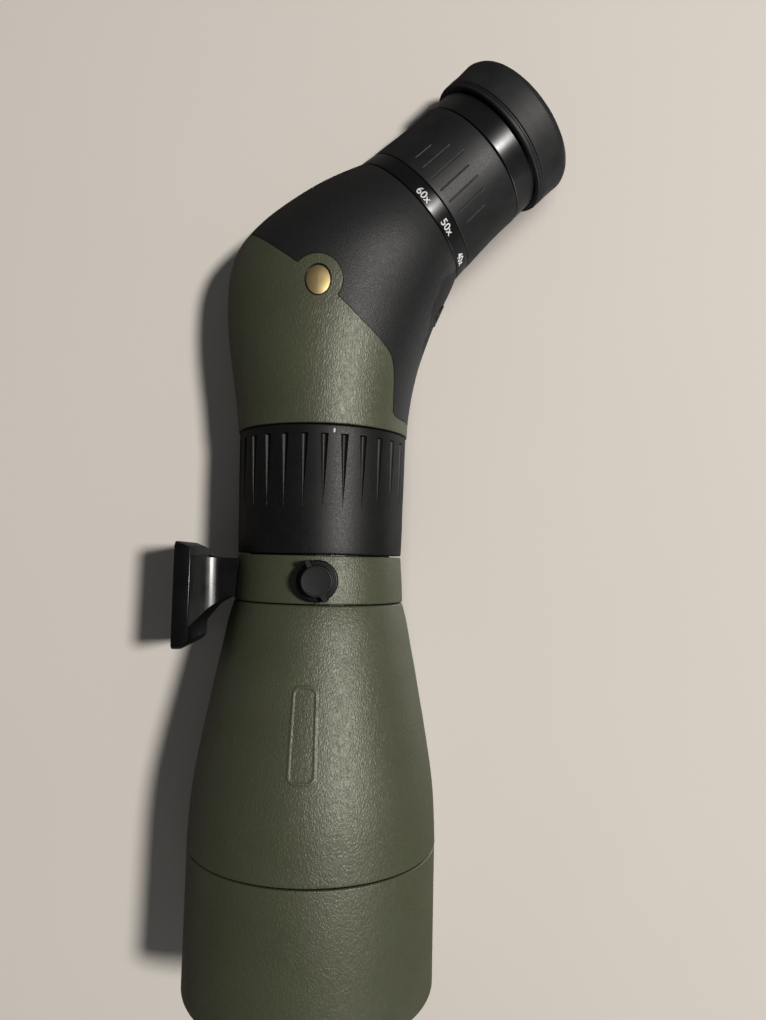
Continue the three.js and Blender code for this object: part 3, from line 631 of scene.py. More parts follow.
# name, CAD node, slot and finish, segments, outline
OBJECTIVE_PARTS = [
    ("barrel_with_ribs", "objective_barrel", "anodised", 200, barrel_outline()),
    ("front_lens", "objective_lens_front", "glass", 200, FRONT_LENS),
    ("lock_ring", "objective_lock_ring", "anodised", 200,
     [(150.4, 41.0, 0.1), (150.4, 43.1), (157.0, 43.1, 0.2), (157.0, 41.6, 0.3),
      (155.5, 41.0, 0.2)]),
    ("lens_retainer", "objective_retainer", "anodised", 200,
     [(143.2, 39.6), (143.2, 41.0), (149.6, 41.0, 0.15), (149.6, 40.5, 0.15),
      (148.2, 39.6, 0.3)]),
    ("lens_cell", "objective_cell", "anodised", 200,
     [(128.0, 39.3, 0.2), (128.0, 43.1, 0.2), (150.0, 43.1, 0.2), (150.0, 41.3, 0.2),
      (130.5, 41.3, 0.1), (130.5, 39.3, 0.1)]),
    ("rear_lens", "objective_lens_rear", "glass", 200, REAR_LENS),
    ("lens_spacer", "objective_spacer", "anodised", 200,
     [(137.5, 39.3), (137.5, 41.0), (138.5, 41.0), (138.5, 39.3)]),
    ("front_baffle", "baffle_front", "anodised", 160,
     [(88.0, 33.5), (88.0, BARREL_BORE), (89.2, BARREL_BORE), (89.2, 33.0)]),
    ("rear_baffle", "baffle_rear", "anodised", 160,
     [(40.0, 24.5), (40.0, 35.2), (41.2, 35.2), (41.2, 24.0)]),
]

dress(lathe("shade_cover", SHADE_COVER, segments=300, steps=8),
      "sunshade", "green_cone", "sunshade_armour")
for name, node, slot, segments, outline in OBJECTIVE_PARTS:
    dress(lathe(name, outline, segments=segments, sharp=25 if slot == "glass" else 32),
          "main_body", slot, node)
dress(lathe("shade_tube", SHADE_TUBE, segments=200),
      "sunshade", "anodised", "sunshade_tube")

# ---------------------------------------------------------------- tapered body armour
# x, radius
BODY_PROFILE = [
    (17.81, 34.60), (25, 36.56), (35, 38.52), (45, 40.56), (55, 42.43), (65, 44.33),
    (75, 46.10), (85, 47.77), (95, 48.94), (103, 49.45), (113.79, 49.94)]
BODY_ENDS = (17.95, 113.79, 0.7, 0.6)
BODY_WALL = 1.9
# blank panel: a low ridge along a rounded rectangle, near the middle of the -Y side
PANEL_X, PANEL_ANGLE, PANEL_SURFACE = 63.2, math.radians(-2.5), 43.9
PANEL_HALF_LENGTH, PANEL_HALF_WIDTH, PANEL_CORNER = 16.2, 4.4, 2.6
RIDGE_HEIGHT, RIDGE_CREST, RIDGE_FOOT = 0.24, 0.20, 0.75


def panel_ridge(along, angle):
    """Height of the ridge round the panel."""
    across = (angle - PANEL_ANGLE + math.pi) % (2 * math.pi) - math.pi
    past_x = np.abs(along - PANEL_X) - (PANEL_HALF_LENGTH - PANEL_CORNER)
    past_side = np.abs(across * PANEL_SURFACE) - (PANEL_HALF_WIDTH - PANEL_CORNER)
    distance = (np.hypot(np.maximum(past_x, 0), np.maximum(past_side, 0))
                + np.minimum(np.maximum(past_x, past_side), 0) - PANEL_CORNER)
    return RIDGE_HEIGHT * (1 - smoothstep(RIDGE_CREST, RIDGE_FOOT, np.abs(distance)))


def body_radius(along, angle):
    return (curve_through(BODY_PROFILE, along) - end_loss(along, *BODY_ENDS)
            + panel_ridge(along, angle))


def body_cover():
    # finer stations and columns over the panel
    stations = np.unique(np.concatenate([end_stations(*BODY_ENDS, count=70),
                                         np.arange(45.0, 81.5, 0.30)]))
    fine_from, fine_to = -0.18, 0.09
    angles = np.concatenate([
        np.arange(fine_from, fine_to, 0.0065),
        np.linspace(fine_to, 2 * math.pi + fine_from, 190, endpoint=False)])
    return skin("body_cover", stations, angles, body_radius,
                lambda along: curve_through(BODY_PROFILE, along) - BODY_WALL)


dress(body_cover(), "main_body", "green_cone", "body_armour")

# ---------------------------------------------------------------- focus ring
# x, radius
FOCUS_PROFILE = [(-50.44, 34.73), (-40, 34.50), (-30, 34.38), (-20, 34.10), (-10, 34.00),
                 (-1.2, 33.69)]
FOCUS_ENDS = (-50.44, -1.2, 0.7, 0.6)
FOCUS_BORE = 31.9
FOCUS_SURFACE = 34.3            # radius at which widths across the grooves are measured
GROOVES, GROOVE_ANGLE = 28, math.radians(3.8)
GROOVE_START, GROOVE_END = -47.0, -19.2
GROOVE_PITCH = 2 * math.pi / GROOVES
# columns across half a groove, in half widths
GROOVE_COLUMNS = [0.22, 0.42, 0.56, 0.69, 0.80, 0.89, 0.95, 0.985, 1.0, 1.12]


def groove_share(along):
    return np.clip((along - GROOVE_START) / (GROOVE_END - GROOVE_START), 0, 1)


def groove_half(along):
    """Half width of a groove: square start, narrowing to a point."""
    return 1.50 * (1 - groove_share(along)) ** 0.85 + 0.015


def focus_radius(along, angle):
    across = (angle - GROOVE_ANGLE + GROOVE_PITCH / 2) % GROOVE_PITCH - GROOVE_PITCH / 2
    depth = (1.35 * (1 - groove_share(along)) ** 0.65
             * smoothstep(GROOVE_START - 0.02, GROOVE_START + 0.30, along)
             * (along < GROOVE_END))
    share = np.clip(np.abs(across * FOCUS_SURFACE) / groove_half(along), 0, 1)
    # rounded floor, crisp edges
    return (curve_through(FOCUS_PROFILE, along) - end_loss(along, *FOCUS_ENDS)
            - depth * (1 - share * share) ** 0.72)


def focus_grip():
    square_start = np.array([-0.35, -0.12, -0.03, 0.0, 0.04, 0.08, 0.13, 0.18, 0.24, 0.30, 0.38])
    stations = np.unique(np.concatenate([
        end_stations(*FOCUS_ENDS, count=20), GROOVE_START + square_start,
        np.arange(-46.2, -19.3, 0.85), [-19.6, -19.3, GROOVE_END, -19.0]]))
    stations = stations[np.concatenate([[True], np.diff(stations) > 0.01])]
    # columns narrow with the groove, and five more cross the land to the next groove
    span = np.maximum(groove_half(stations), 0.16)[:, None]
    across = [-share for share in reversed(GROOVE_COLUMNS)] + [0.0] + GROOVE_COLUMNS
    edge = GROOVE_COLUMNS[-1] * span
    land = edge + (GROOVE_PITCH * FOCUS_SURFACE - 2 * edge) * np.arange(1, 6) / 6
    columns = np.concatenate([span * np.array(across), land], 1) / FOCUS_SURFACE
    angles = np.concatenate([GROOVE_ANGLE + k * GROOVE_PITCH + columns
                             for k in range(GROOVES)], 1)
    return skin("focus_grip", stations, angles, focus_radius, lambda along: FOCUS_BORE, sharp=42)


dress(focus_grip(), "focus_ring", "grip", "focus_ring_grip")
index_mark("focus_index", "focus_ring", main_point, centre=(-48.1, math.radians(9.9)),
           half_sizes=(0.85, 0.35), surface=34.7, top=34.76, bottom=34.3, count=28)

# ---------------------------------------------------------------- tripod collar
KNOB_X, KNOB_Z = 8.75, 1.2
PAD_HOLE_RADIUS = 3.4
COLLAR = [(-0.6, 33.62, 0.45), (8, 34.28, 30), (17.5, 34.78, 0.45), (17.5, 29.3, 0.2),
          (-0.6, 29.3, 0.2)]


def collar_band():
    collar = lathe("collar_band", COLLAR, segments=300)
    hole = oval((KNOB_X, KNOB_Z), (PAD_HOLE_RADIUS, PAD_HOLE_RADIUS), 48)
    boolean(collar, extrude("pad_hole", hole, "y", -38, -26), "DIFFERENCE")
    shade(collar, 30)
    return collar


dress(collar_band(), "tripod_collar", "collar", "collar_ring")

# ---------------------------------------------------------------- foot
PLATE_BOTTOM, PLATE_TOP = -AXIS_HEIGHT, -49.7
FOOT_LOW = -51.5                # the casting ends here, inside the plate
PLATE_HALF, PLATE_TOP_HALF, PLATE_TOP_X = 21.2, 18.2, 15.6
# screw holes in the plate: x, radius
FOOT_HOLES = ((5.0, 3.2), (27.0, 4.8))

# seen from the side: x, z
FOOT_SIDE = (
    [(1.2, -30), (1.05, -40)]
    + [(1.05 - 1.45 * (1 - math.cos(turn)), -40 - 9.5 * math.sin(turn))
       for turn in np.linspace(0.1, 1.45, 8)]
    + [(-0.5, FOOT_LOW), (29.4, FOOT_LOW), (29.4, PLATE_TOP - 0.35), (28.35, PLATE_TOP + 0.03),
       (27.5, -49.05), (26.6, -48.2), (25.5, -47.15), (24.4, -46.15), (23.3, -45.2),
       (22.2, -44.25), (21.2, -43.3), (20.3, -42.2), (19.3, -40.65), (18.2, -38.75),
       (17.4, -37.45), (16.8, -36.4), (16.3, -35.1), (16.0, -33.6), (15.8, -32), (15.7, -30)])
# the -Y half seen along the axis: y, z
FOOT_END_HALF = [
    (-12.5, -30), (-12.5, -39.4), (-12.62, -40.6), (-12.95, -41.9), (-13.5, -43.3),
    (-14.3, -44.7), (-15.3, -46.1), (-16.3, -47.3), (-17.35, -48.5), (-18.4, PLATE_TOP - 0.05),
    (-18.4, FOOT_LOW)]
FOOT_BORE = [(-12, 0), (-12, 34.4), (-0.3, 33.95), (8, 34.58), (17.5, 35.08), (45, 35.4), (45, 0)]
# side view of the plate: x, z
PLATE_SIDE = [
    (FOOT_X - PLATE_HALF, PLATE_BOTTOM), (FOOT_X + PLATE_HALF, PLATE_BOTTOM),
    (FOOT_X + PLATE_HALF, PLATE_BOTTOM + 0.9), (FOOT_X + 20.9, PLATE_BOTTOM + 3.9),
    (FOOT_X + 19.8, PLATE_BOTTOM + 5.3), (PLATE_TOP_X + PLATE_TOP_HALF, PLATE_TOP),
    (PLATE_TOP_X - PLATE_TOP_HALF, PLATE_TOP), (FOOT_X - PLATE_HALF, PLATE_BOTTOM + 0.9)]


def foot_plate():
    """Plate with rounded upright corners."""
    plate = extrude("plate", PLATE_SIDE, "y", -19, 19)
    corner, plan = 2.6, []
    for x_sign, y_sign, first in ((1, 1, 0), (-1, 1, 90), (-1, -1, 180), (1, -1, 270)):
        for k in range(7):
            turn = math.radians(first + 15 * k)
            plan.append((FOOT_X + x_sign * 18.6 + corner * math.cos(turn),
                         y_sign * 16.4 + corner * math.sin(turn)))
    boolean(plate, extrude("plan", plan, "z", PLATE_BOTTOM - 3, PLATE_TOP + 3), "INTERSECT")
    bevel(plate, width=0.8, segments=4, angle=40)
    bake(plate)
    return plate


def foot_casting():
    foot = extrude("foot_casting", FOOT_SIDE, "y", -24, 24)
    foot_end = FOOT_END_HALF + [(-y, z) for y, z in reversed(FOOT_END_HALF)]
    boolean(foot, extrude("foot_end", foot_end, "x", -6, 42), "INTERSECT")
    boolean(foot, lathe("foot_bore", FOOT_BORE, segments=240), "DIFFERENCE")
    boolean(foot, foot_plate(), "UNION")
    for x, radius in FOOT_HOLES:
        hole = z_cylinder("hole", x, radius, PLATE_BOTTOM - 2, PLATE_BOTTOM + 5.2, count=48)
        boolean(foot, hole, "DIFFERENCE")
    shade(foot, 30)
    bevel(foot, width=0.6, segments=4, angle=34)
    return foot


dress(foot_casting(), "tripod_collar", "gloss", "tripod_foot")

# ---------------------------------------------------------------- collar knob
KNOB_BASE = 35.1                # distance of its inner face from the main axis, towards -Y
WING_ANGLE = math.radians(26)
# distance towards -Y, radius
KNOB_PROFILE = [
    (KNOB_BASE, 3.6), (KNOB_BASE, 7.8, 0.4), (KNOB_BASE + 4.1, 7.8, 0.6),
    (KNOB_BASE + 4.1, 5.75, 0.25), (KNOB_BASE + 8.0, 5.75, 0.5), (KNOB_BASE + 8.0, 5.1, 0.1),
    (KNOB_BASE + 7.8, 5.0, 0.1), (KNOB_BASE + 7.8, 0), (KNOB_BASE + 3, 0), (KNOB_BASE + 3, 3.6)]
# wing: distance towards -Y, half width at its inner and outer radius
WING_LEVELS = ((KNOB_BASE + 0.7, 1.35, 1.05), (KNOB_BASE + 7.35, 1.15, 0.75))
WING_RADII = (4.6, 8.3)
WING_FACES = [(0, 1, 3, 2), (4, 6, 7, 5), (0, 4, 5, 1), (2, 3, 7, 6), (0, 2, 6, 4), (1, 5, 7, 3)]
SKIRT_TOP, SKIRT_INNER = KNOB_BASE + 4.3, 5.45


def knob_cap():
    """Round knob with two opposite wings."""
    knob = lathe("knob_cap", KNOB_PROFILE, side_place(KNOB_X, KNOB_Z), segments=96, steps=5,
                 flip=True)
    for sign in (1, -1):
        cos, sin = math.cos(WING_ANGLE) * sign, math.sin(WING_ANGLE) * sign
        points = []
        for out, *half_widths in WING_LEVELS:
            for radius, half_width in zip(WING_RADII, half_widths):
                for across in (half_width, -half_width):
                    points.append((KNOB_X + cos * radius - sin * across, -out,
                                   KNOB_Z + sin * radius + cos * across))
        boolean(knob, make_object("wing", points, WING_FACES), "UNION", solver="EXACT")
    shade(knob, 30)
    bevel(knob, width=0.3, segments=3, angle=38)
    return knob


def paint_skirt(knob):
    """Give the wide inner part of the knob its darker finish."""
    knob.data.materials.append(FINISH["knob_skirt"])
    for polygon in knob.data.polygons:
        x, y, z = polygon.center * 1000.0
        radius = math.hypot(x - (KNOB_X - FOOT_X), z - AXIS_HEIGHT - KNOB_Z)
        if -y < SKIRT_TOP and radius > SKIRT_INNER:
            polygon.material_index = 1


paint_skirt(dress(knob_cap(), "clamp_knob", "knob", "collar_knob"))

# ---------------------------------------------------------------- prism housing armours
# rings of the housing: upper point x and z, lower point x and z, half depth in y
HOUSING = np.array([
    [-50.74, 35.2, -50.74, -35.2, 35.2], [-58, 35.6, -58, -36.0, 35.8],
    [-67, 36.7, -68, -37.3, 36.6], [-76, 38.4, -79, -39.1, 37.4],
    [-84.5, 40.6, -91, -40.8, 38.1], [-93, 43.4, -104, -41.7, 38.6],
    [-100, 45.9, -117, -41.2, 38.8], [-105.8, 48.4, -128, -37.7, 38.6],
    [-110.3, 50.3, -138.4, -29.3, 38.0], [-113.7, 51.8, -147.5, -18.6, 36.8],
    [-116.7, 53.1, -155.1, -8.0, 35.1], [-119.5, 54.2, -160.8, 1.6, 33.1],
    [-122.0, 55.1, -165.7, 11.4, 30.9]])
HOUSING_LAST = len(HOUSING) - 1
HOUSING_WALL = 1.9
HOUSING_AROUND, HOUSING_RINGS = ((232, 200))
SEAM_HALF = 0.13                # half the gap between the two armours
BADGE_X, BADGE_Z = -104.7, -1.6
BUTTON_X = -104.6


def housing_ring(s, inset, around):
    """Elliptical ring of the housing at station s, drawn in by inset."""
    upper_x, upper_z, lower_x, lower_z, half_depth = spline_at(HOUSING, s)
    x, z = (upper_x + lower_x) / 2, (upper_z + lower_z) / 2
    length = math.hypot(upper_x - lower_x, upper_z - lower_z)
    rise_x, rise_z = (upper_x - lower_x) / length, (upper_z - lower_z) / length
    turn = 2 * np.pi * np.arange(around) / around
    along = (length / 2 - inset) * np.cos(turn)
    return np.stack([x + rise_x * along, -(half_depth - inset) * np.sin(turn),
                     z + rise_z * along], -1)


def housing_shell(name, around, count):
    """Whole armour of the housing, with rounded ends."""
    stations = np.concatenate([
        [0, 0.004, 0.012, 0.025, 0.045], np.linspace(0.08, 11.93, count),
        [11.955, 11.975, 11.989, 11.997, 12.0]])
    insets = np.concatenate([[0.55, 0.33, 0.18, 0.07, 0.015], np.zeros(count),
                             [0.015, 0.07, 0.18, 0.33, 0.5]])
    rings = [housing_ring(s, inset, around) for s, inset in zip(stations, insets)]
    rings += [housing_ring(s, HOUSING_WALL, around) for s in np.linspace(HOUSING_LAST, 0, 30)]
    return make_object(name, np.concatenate(rings),
                       tube_faces(len(rings), around, closed=True), sharp=40)


def housing_solid(name, inset, around, count):
    rings = [housing_ring(s, inset, around) for s in np.linspace(0, HOUSING_LAST, count)]
    caps = [tuple(range(around)),
            tuple(range(count * around - 1, (count - 1) * around - 1, -1))]
    return make_object(name, np.concatenate(rings), tube_faces(count, around) + caps, sharp=40)


# line between the lower and upper armours, x and z, with a round lobe about the badge
LOBE = oval_arc = [(-105.0 + 9.95 * math.cos(turn), -2.1 + 9.95 * math.sin(turn))
                   for turn in np.linspace(math.radians(229), math.radians(53), 40)]
SEAM = (
    spline([(-146, -46), (-137, -37.4), (-128.9, -29.7), (-122.0, -22.4), (-116.5, -15.9),
            LOBE[0]])[:-1]
    + LOBE
    + spline([LOBE[-1], (-95.1, 10.3), (-90.4, 15.5), (-86.2, 20.6), (-83.0, 24.2),
              (-79.8, 26.9), (-75.7, 28.1), (-71, 28.45), (-66.7, 28.5), (-61, 28.5),
              (-58.3, 28.6), (-57.0, 29.3), (-56.4, 30.6), (-56.3, 32.5), (-56.3, 40),
              (-56.3, 62)])[1:])


def upper_region(shift):
    """Block over the upper armour, its seam moved sideways by shift."""
    points = np.array(SEAM)
    tangent = np.gradient(points, axis=0)
    tangent /= np.linalg.norm(tangent, axis=1)[:, None]
    normal = np.stack([-tangent[:, 1], tangent[:, 0]], -1)
    seam = [tuple(point) for point in points + normal * shift]
    return extrude("region", seam + [(-230, 62), (-230, seam[0][1])], "y", -70, 70)


def housing_armours():
    """Lower and upper armours, cut from one shell."""
    lower = housing_shell("armour_lower", HOUSING_AROUND, HOUSING_RINGS)
    upper = lower.copy()
    upper.data = lower.data.copy()
    upper.name = "armour_upper"
    bpy.context.scene.collection.objects.link(upper)
    boolean(lower, upper_region(-SEAM_HALF), "DIFFERENCE")
    badge_hole = oval((BADGE_X, BADGE_Z), (6.25, 5.15), 72)
    boolean(lower, extrude("badge_hole", badge_hole, "y", -48, -30), "DIFFERENCE")
    boolean(upper, upper_region(SEAM_HALF), "INTERSECT")
    boolean(upper, z_cylinder("button_hole", BUTTON_X, 4.9, 30, 70), "DIFFERENCE")
    shade(lower, 34)
    shade(upper, 34)
    return lower, upper


armour_lower, armour_upper = housing_armours()
dress(armour_lower, "main_body", "green", "housing_armour_lower")
dress(armour_upper, "main_body", "black", "housing_armour_upper")


# ---------------------------------------------------------------- release button and spring
def button_cap():
    """Button on a wider base, its face following the housing."""
    button = z_cylinder("button_cap", BUTTON_X, 4.45, 37.2, 60, count=72)
    boolean(button, housing_solid("env", -0.43, 160, 90), "INTERSECT")
    boolean(button, z_cylinder("button_base", BUTTON_X, 5.9, 36.4, 38.0, count=72), "UNION")
    shade(button, 30)
    bevel(button, width=0.3, segments=3, angle=40)
    return button


def return_spring(radius=2.6, wire=0.4, bottom=33.75, top=35.7, turns=2.0, steps=96, around=12):
    """Round wire wound about the line of the button."""
    up = np.array([0, 0, 1.0])
    points = []
    for i in range(steps + 1):
        share = i / steps
        turn = 2 * math.pi * turns * share
        out = np.array([math.cos(turn), math.sin(turn), 0.0])
        middle = np.array([BUTTON_X, 0, bottom + (top - bottom) * share]) + radius * out
        for k in range(around):
            angle = 2 * math.pi * k / around
            points.append(middle + wire * (math.cos(angle) * out + math.sin(angle) * up))
    caps = [tuple(range(around - 1, -1, -1)),
            tuple(range(steps * around, (steps + 1) * around))]
    return make_object("return_spring", np.array(points),
                       tube_faces(steps + 1, around) + caps, sharp=50)


dress(button_cap(), "release_button", "satin", "release_button")
spring = dress(return_spring(), "main_body", "steel", "button_spring")
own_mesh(spring)

# ---------------------------------------------------------------- badge
# oval dark bezel round a blank domed insert; outlines are distance towards -Y, radius in x
BADGE_HALF_X, BADGE_HALF_Z = 6.0, 4.9
BADGE_RIM = [(36.9, 5.7), (36.9, 6.05), (38.45, 6.05, 0.1), (38.45, 5.78, 0.1), (38.1, 5.7)]
BADGE_DOME = [(37.7, 0), (37.7, 5.6)] + dome(
    38.20, 0.55, 5.65, (5.6, 5.45, 5.25, 5.0, 4.7, 4.3, 3.8, 3.2, 2.6, 2.0, 1.45, 0), power=2.6)

for name, outline, slot, finish, node in (
        ("badge_rim", BADGE_RIM, "satin_black", "badge_rim", "badge_bezel"),
        ("badge_dome", BADGE_DOME, "gold", "gold", "badge_insert")):
    badge_place = side_place(BADGE_X, BADGE_Z, squeeze=BADGE_HALF_X - BADGE_HALF_Z)
    dress(lathe(name, outline, badge_place, segments=96, steps=5, flip=True),
          "main_body", finish, node)

# ---------------------------------------------------------------- zoom ring
SCALE_START, SCALE_END = 47.34, 54.08
SCALE_START_RADIUS, SCALE_END_RADIUS = 30.92, 30.25
SCALE_BAND = [
    (SCALE_START, 24.9), (SCALE_START, SCALE_START_RADIUS, 0.35),
    (SCALE_END, SCALE_END_RADIUS, 0.25), (SCALE_END, 26.6), (84.8, 26.6), (84.8, 25.8),
    (51, 25.8), (51, 24.9)]
# along, radius
GRIP_PROFILE = [(54.35, 30.33), (57, 30.16), (60, 29.95), (66, 29.50), (72, 29.13),
                (78, 28.96), (84.9, 28.93)]
GRIP_ENDS = (54.35, 84.9, 0.5, 0.5)
GRIP_BORE = 26.9
GRIP_SURFACE = 29.2             # radius at which widths across the lines are measured
# start and end of the seven lines in each of three groups
LINE_SPANS = ((58.2, 69.8), (57.3, 72.6), (56.6, 73.6), (56.4, 73.2), (56.6, 75.2),
              (57.3, 73.0), (58.6, 68.2))
GRIP_LINES = [(math.radians(76.5 + 120 * group + 10.65 * k), *LINE_SPANS[k + 3])
              for group in range(3) for k in range(-3, 4)]
LINE_DEPTH = 0.30


def grip_radius(along, angle):
    cut = np.zeros_like(along)
    for line_angle, start, stop in GRIP_LINES:
        turn = (angle - line_angle + math.pi) % (2 * math.pi) - math.pi
        length = smoothstep(start, start + 0.6, along) * (1 - smoothstep(stop - 1.4, stop, along))
        width = 1 - smoothstep(0.10, 0.34, np.abs(turn * GRIP_SURFACE))
        cut = np.maximum(cut, LINE_DEPTH * length * width)
    return curve_through(GRIP_PROFILE, along) - end_loss(along, *GRIP_ENDS) - cut


def zoom_grip():
    across = (-0.5, -0.34, -0.26, -0.18, -0.10, 0.0, 0.10, 0.18, 0.26, 0.34, 0.5)
    line_columns = [(line[0] + offset / GRIP_SURFACE) % (2 * math.pi)
                    for line in GRIP_LINES for offset in across]
    angles = np.unique(np.concatenate([np.linspace(0, 2 * math.pi, 120, endpoint=False),
                                       line_columns]))
    angles = angles[np.concatenate([[True], np.diff(angles) > 1e-4])]
    stations = np.unique(np.concatenate([end_stations(*GRIP_ENDS, count=22),
                                         np.arange(56.4, 59.3, 0.2),
                                         np.arange(66.8, 75.4, 0.35)]))
    return skin("zoom_grip_cover", stations, angles, grip_radius, lambda along: GRIP_BORE,
                eye_point, sharp=50)


dress(lathe("scale_band", SCALE_BAND, eye_point, segments=260),
      "zoom_ring", "scale", "zoom_scale_ring")
dress(zoom_grip(), "zoom_ring", "eyegrip", "zoom_grip")

DIGIT_HEIGHT, DIGIT_ALONG, DIGIT_SURFACE = 3.15, 50.15, 30.4
FONT_DIGIT_HEIGHT = 0.70        # at font size 1
DIGIT_RAISED, DIGIT_SUNK = 0.045, 0.10


def text_mesh(text, name):
    """Mesh of a flat text, cut small enough to bend round the ring."""
    curve = bpy.data.curves.new(name, "FONT")
    curve.body = text
    curve.size = 1.0
    curve.offset = 0.012
    curve.resolution_u = 6
    flat = bpy.data.objects.new(name + "_c", curve)
    bpy.context.scene.collection.objects.link(flat)
    bpy.context.view_layer.update()
    evaluated = flat.evaluated_get(bpy.context.evaluated_depsgraph_get())
    mesh = bpy.data.meshes.new_from_object(evaluated)
    bpy.data.objects.remove(flat)
    edit = bmesh.new()
    edit.from_mesh(mesh)
    bpy.data.meshes.remove(mesh)
    bmesh.ops.remove_doubles(edit, verts=edit.verts, dist=1e-5)
    bmesh.ops.triangulate(edit, faces=edit.faces)
    for _ in range(2):
        long_edges = [edge for edge in edit.edges if edge.calc_length() > 0.12]
        if long_edges:
            bmesh.ops.subdivide_edges(edit, edges=long_edges, cuts=1)
            bmesh.ops.triangulate(edit, faces=edit.faces)
    edit.verts.index_update()
    return edit


def dial_text(text, angle, name):
    """Raised number on the scale band."""
    edit = text_mesh(text, name)
    across, up = np.array([vertex.co[:2] for vertex in edit.verts]).T
    faces = [tuple(vertex.index for vertex in face.verts) for face in edit.faces]
    border = [edge.link_loops[0] for edge in edit.edges if len(edge.link_faces) == 1]
    walls = [(loop.vert.index, loop.link_loop_next.vert.index) for loop in border]
    edit.free()
    scale = DIGIT_HEIGHT / FONT_DIGIT_HEIGHT
    across = (across - (across.max() + across.min()) / 2) * scale
    along = DIGIT_ALONG + (up - FONT_DIGIT_HEIGHT / 2) * scale
    surface = (SCALE_START_RADIUS + (SCALE_END_RADIUS - SCALE_START_RADIUS)
               * (along - SCALE_START) / (SCALE_END - SCALE_START))
    angles = angle - across / DIGIT_SURFACE
    top = eye_point(along, surface + DIGIT_RAISED, angles)
    bottom = eye_point(along, surface - DIGIT_SUNK, angles)
    count = len(top)
    faces = (faces + [tuple(count + i for i in reversed(face)) for face in faces]
             + [(i, count + i, count + j, j) for i, j in walls])
    part = make_object(name, np.concatenate([top, bottom]), faces, sharp=30)
    dress(part, "zoom_ring", "white")


for text, degrees in (("60x", 82.0), ("50x", 53.2), ("40x", 21.0), ("30x", -14.0)):
    dial_text(text, math.radians(degrees), "dial_" + text)

# ---------------------------------------------------------------- upper eyepiece and eyecup
OCULAR_RADIUS = 17.7
OCULAR = (dome(97.2, -1.8, OCULAR_RADIUS, (0, 4, 8, 12, 15))
          + [(97.2, OCULAR_RADIUS, 0.2), (101.0, OCULAR_RADIUS, 0.2)]
          + dome(101.0, 2.0, OCULAR_RADIUS, (15, 12, 9, 6, 3, 0)))

# name, body, slot, finish, CAD node, lathe options, outline
EYEPIECE_PARTS = [
    ("upper_band", "eyepiece", "gloss_black", "upper", "upper_ring", {"segments": 240},
     [(85.5, 24.9), (85.5, 28.68, 0.4), (95.2, 28.50, 0.25), (95.2, 26.9, 0.1),
      (106.6, 26.9, 0.3), (106.6, 24.9)]),
    ("guide_sleeve", "eyecup_guide", "anodised", "anodised_eye", "eyecup_guide_sleeve",
     {"segments": 240},
     [(97.0, 27.25, 0.1), (97.0, 28.25, 0.25), (98.6, 28.25, 0.1), (98.75, 28.12, 0.05),
      (99.0, 28.12, 0.05), (99.15, 28.25, 0.1), (108.8, 28.25, 0.3), (108.8, 27.25, 0.1)]),
    ("cup_shell", "eyecup", "satin_black", "cupshell", "eyecup_shell", {"segments": 240},
     [(96.12, 28.6, 0.15), (96.12, 30.78, 0.5), (97.25, 31.0, 0.15), (97.45, 30.65, 0.1),
      (97.7, 30.65, 0.1), (97.9, 30.95, 0.12), (98.55, 31.0, 0.3), (98.7, 29.35, 0.1),
      (110.6, 29.35), (110.6, 22.5, 0.2), (109.2, 22.5), (109.2, 28.6)]),
    ("cup_rubber", "eyecup", "black_rubber", "eyecup", "eyecup_rubber",
     {"segments": 260, "steps": 9},
     [(98.85, 29.6), (98.85, 30.85, 0.35), (99.9, 31.02, 0.4), (104.5, 30.92, 6),
      (110.6, 31.22, 2.2), (113.3, 30.1, 1.6), (113.3, 26.2, 1.4), (111.6, 22.6, 1.2),
      (110.85, 21.7, 0.4), (110.75, 22.4), (110.75, 29.6)]),
    ("eye_cell", "eyepiece", "anodised", "anodised_eye", "eye_lens_cell", {"segments": 200},
     [(92.3, 24.6), (106.2, 24.6, 0.5), (105.4, 19.5, 0.6), (104.9, 17.0, 0.3),
      (104.4, 16.2, 0.2), (103.4, 16.2), (103.4, 18), (92.3, 18)]),
    ("ocular", "eyepiece", "glass", "eye_glass", "eye_lens", {"segments": 160, "sharp": 25},
     OCULAR),
]
for name, body, slot, finish, node, options, outline in EYEPIECE_PARTS:
    dress(lathe(name, outline, eye_point, **options), body, finish, node)

# index dot of the zoom scale, on the armour at the upper side of the eyepiece
index_mark("zoom_index", "main_body", eye_point, centre=(45.5, 0.0), half_sizes=(0.7, 0.7),
           surface=31, top=31.35, bottom=30.2, count=32)

# ---------------------------------------------------------------- camera frame
# scene millimetres; the view looks along +Y with +Z to its right and -X up
CAMERA = np.array([-15.821, -314.384, 73.430])
VIEW_RIGHT = np.array([-0.0228567, -0.0291510, 0.9993137])
VIEW_UP = np.array([-0.9975678, -0.0651736, -0.0247180])
VIEW_FORWARD = np.array([-0.0658494, 0.9974481, 0.0275904])
LENS_MM, SENSOR_MM = 26.3482235, 36.0


def from_view(right, up, depth):
    """Point in metres, given in mm to the right of, above and in front of the camera."""
    return Vector((CAMERA + VIEW_RIGHT * right + VIEW_UP * up + VIEW_FORWARD * depth) * 0.001)


# ---------------------------------------------------------------- floor
# The floor stands upright on the +Y side, against the sunshade and the prism housing, and
# comes a little forward, towards -Y, beside them.
FLOOR_TILT = 0.0457             # change of y along x
FLOOR_TOUCH = 50.35 - FLOOR_TILT * 140.0
FLOOR_RISE = 18.0
FLOOR_STEP = 4.0
EYE_REACH = 70.0                # how far the eyepiece is followed, in x and in z


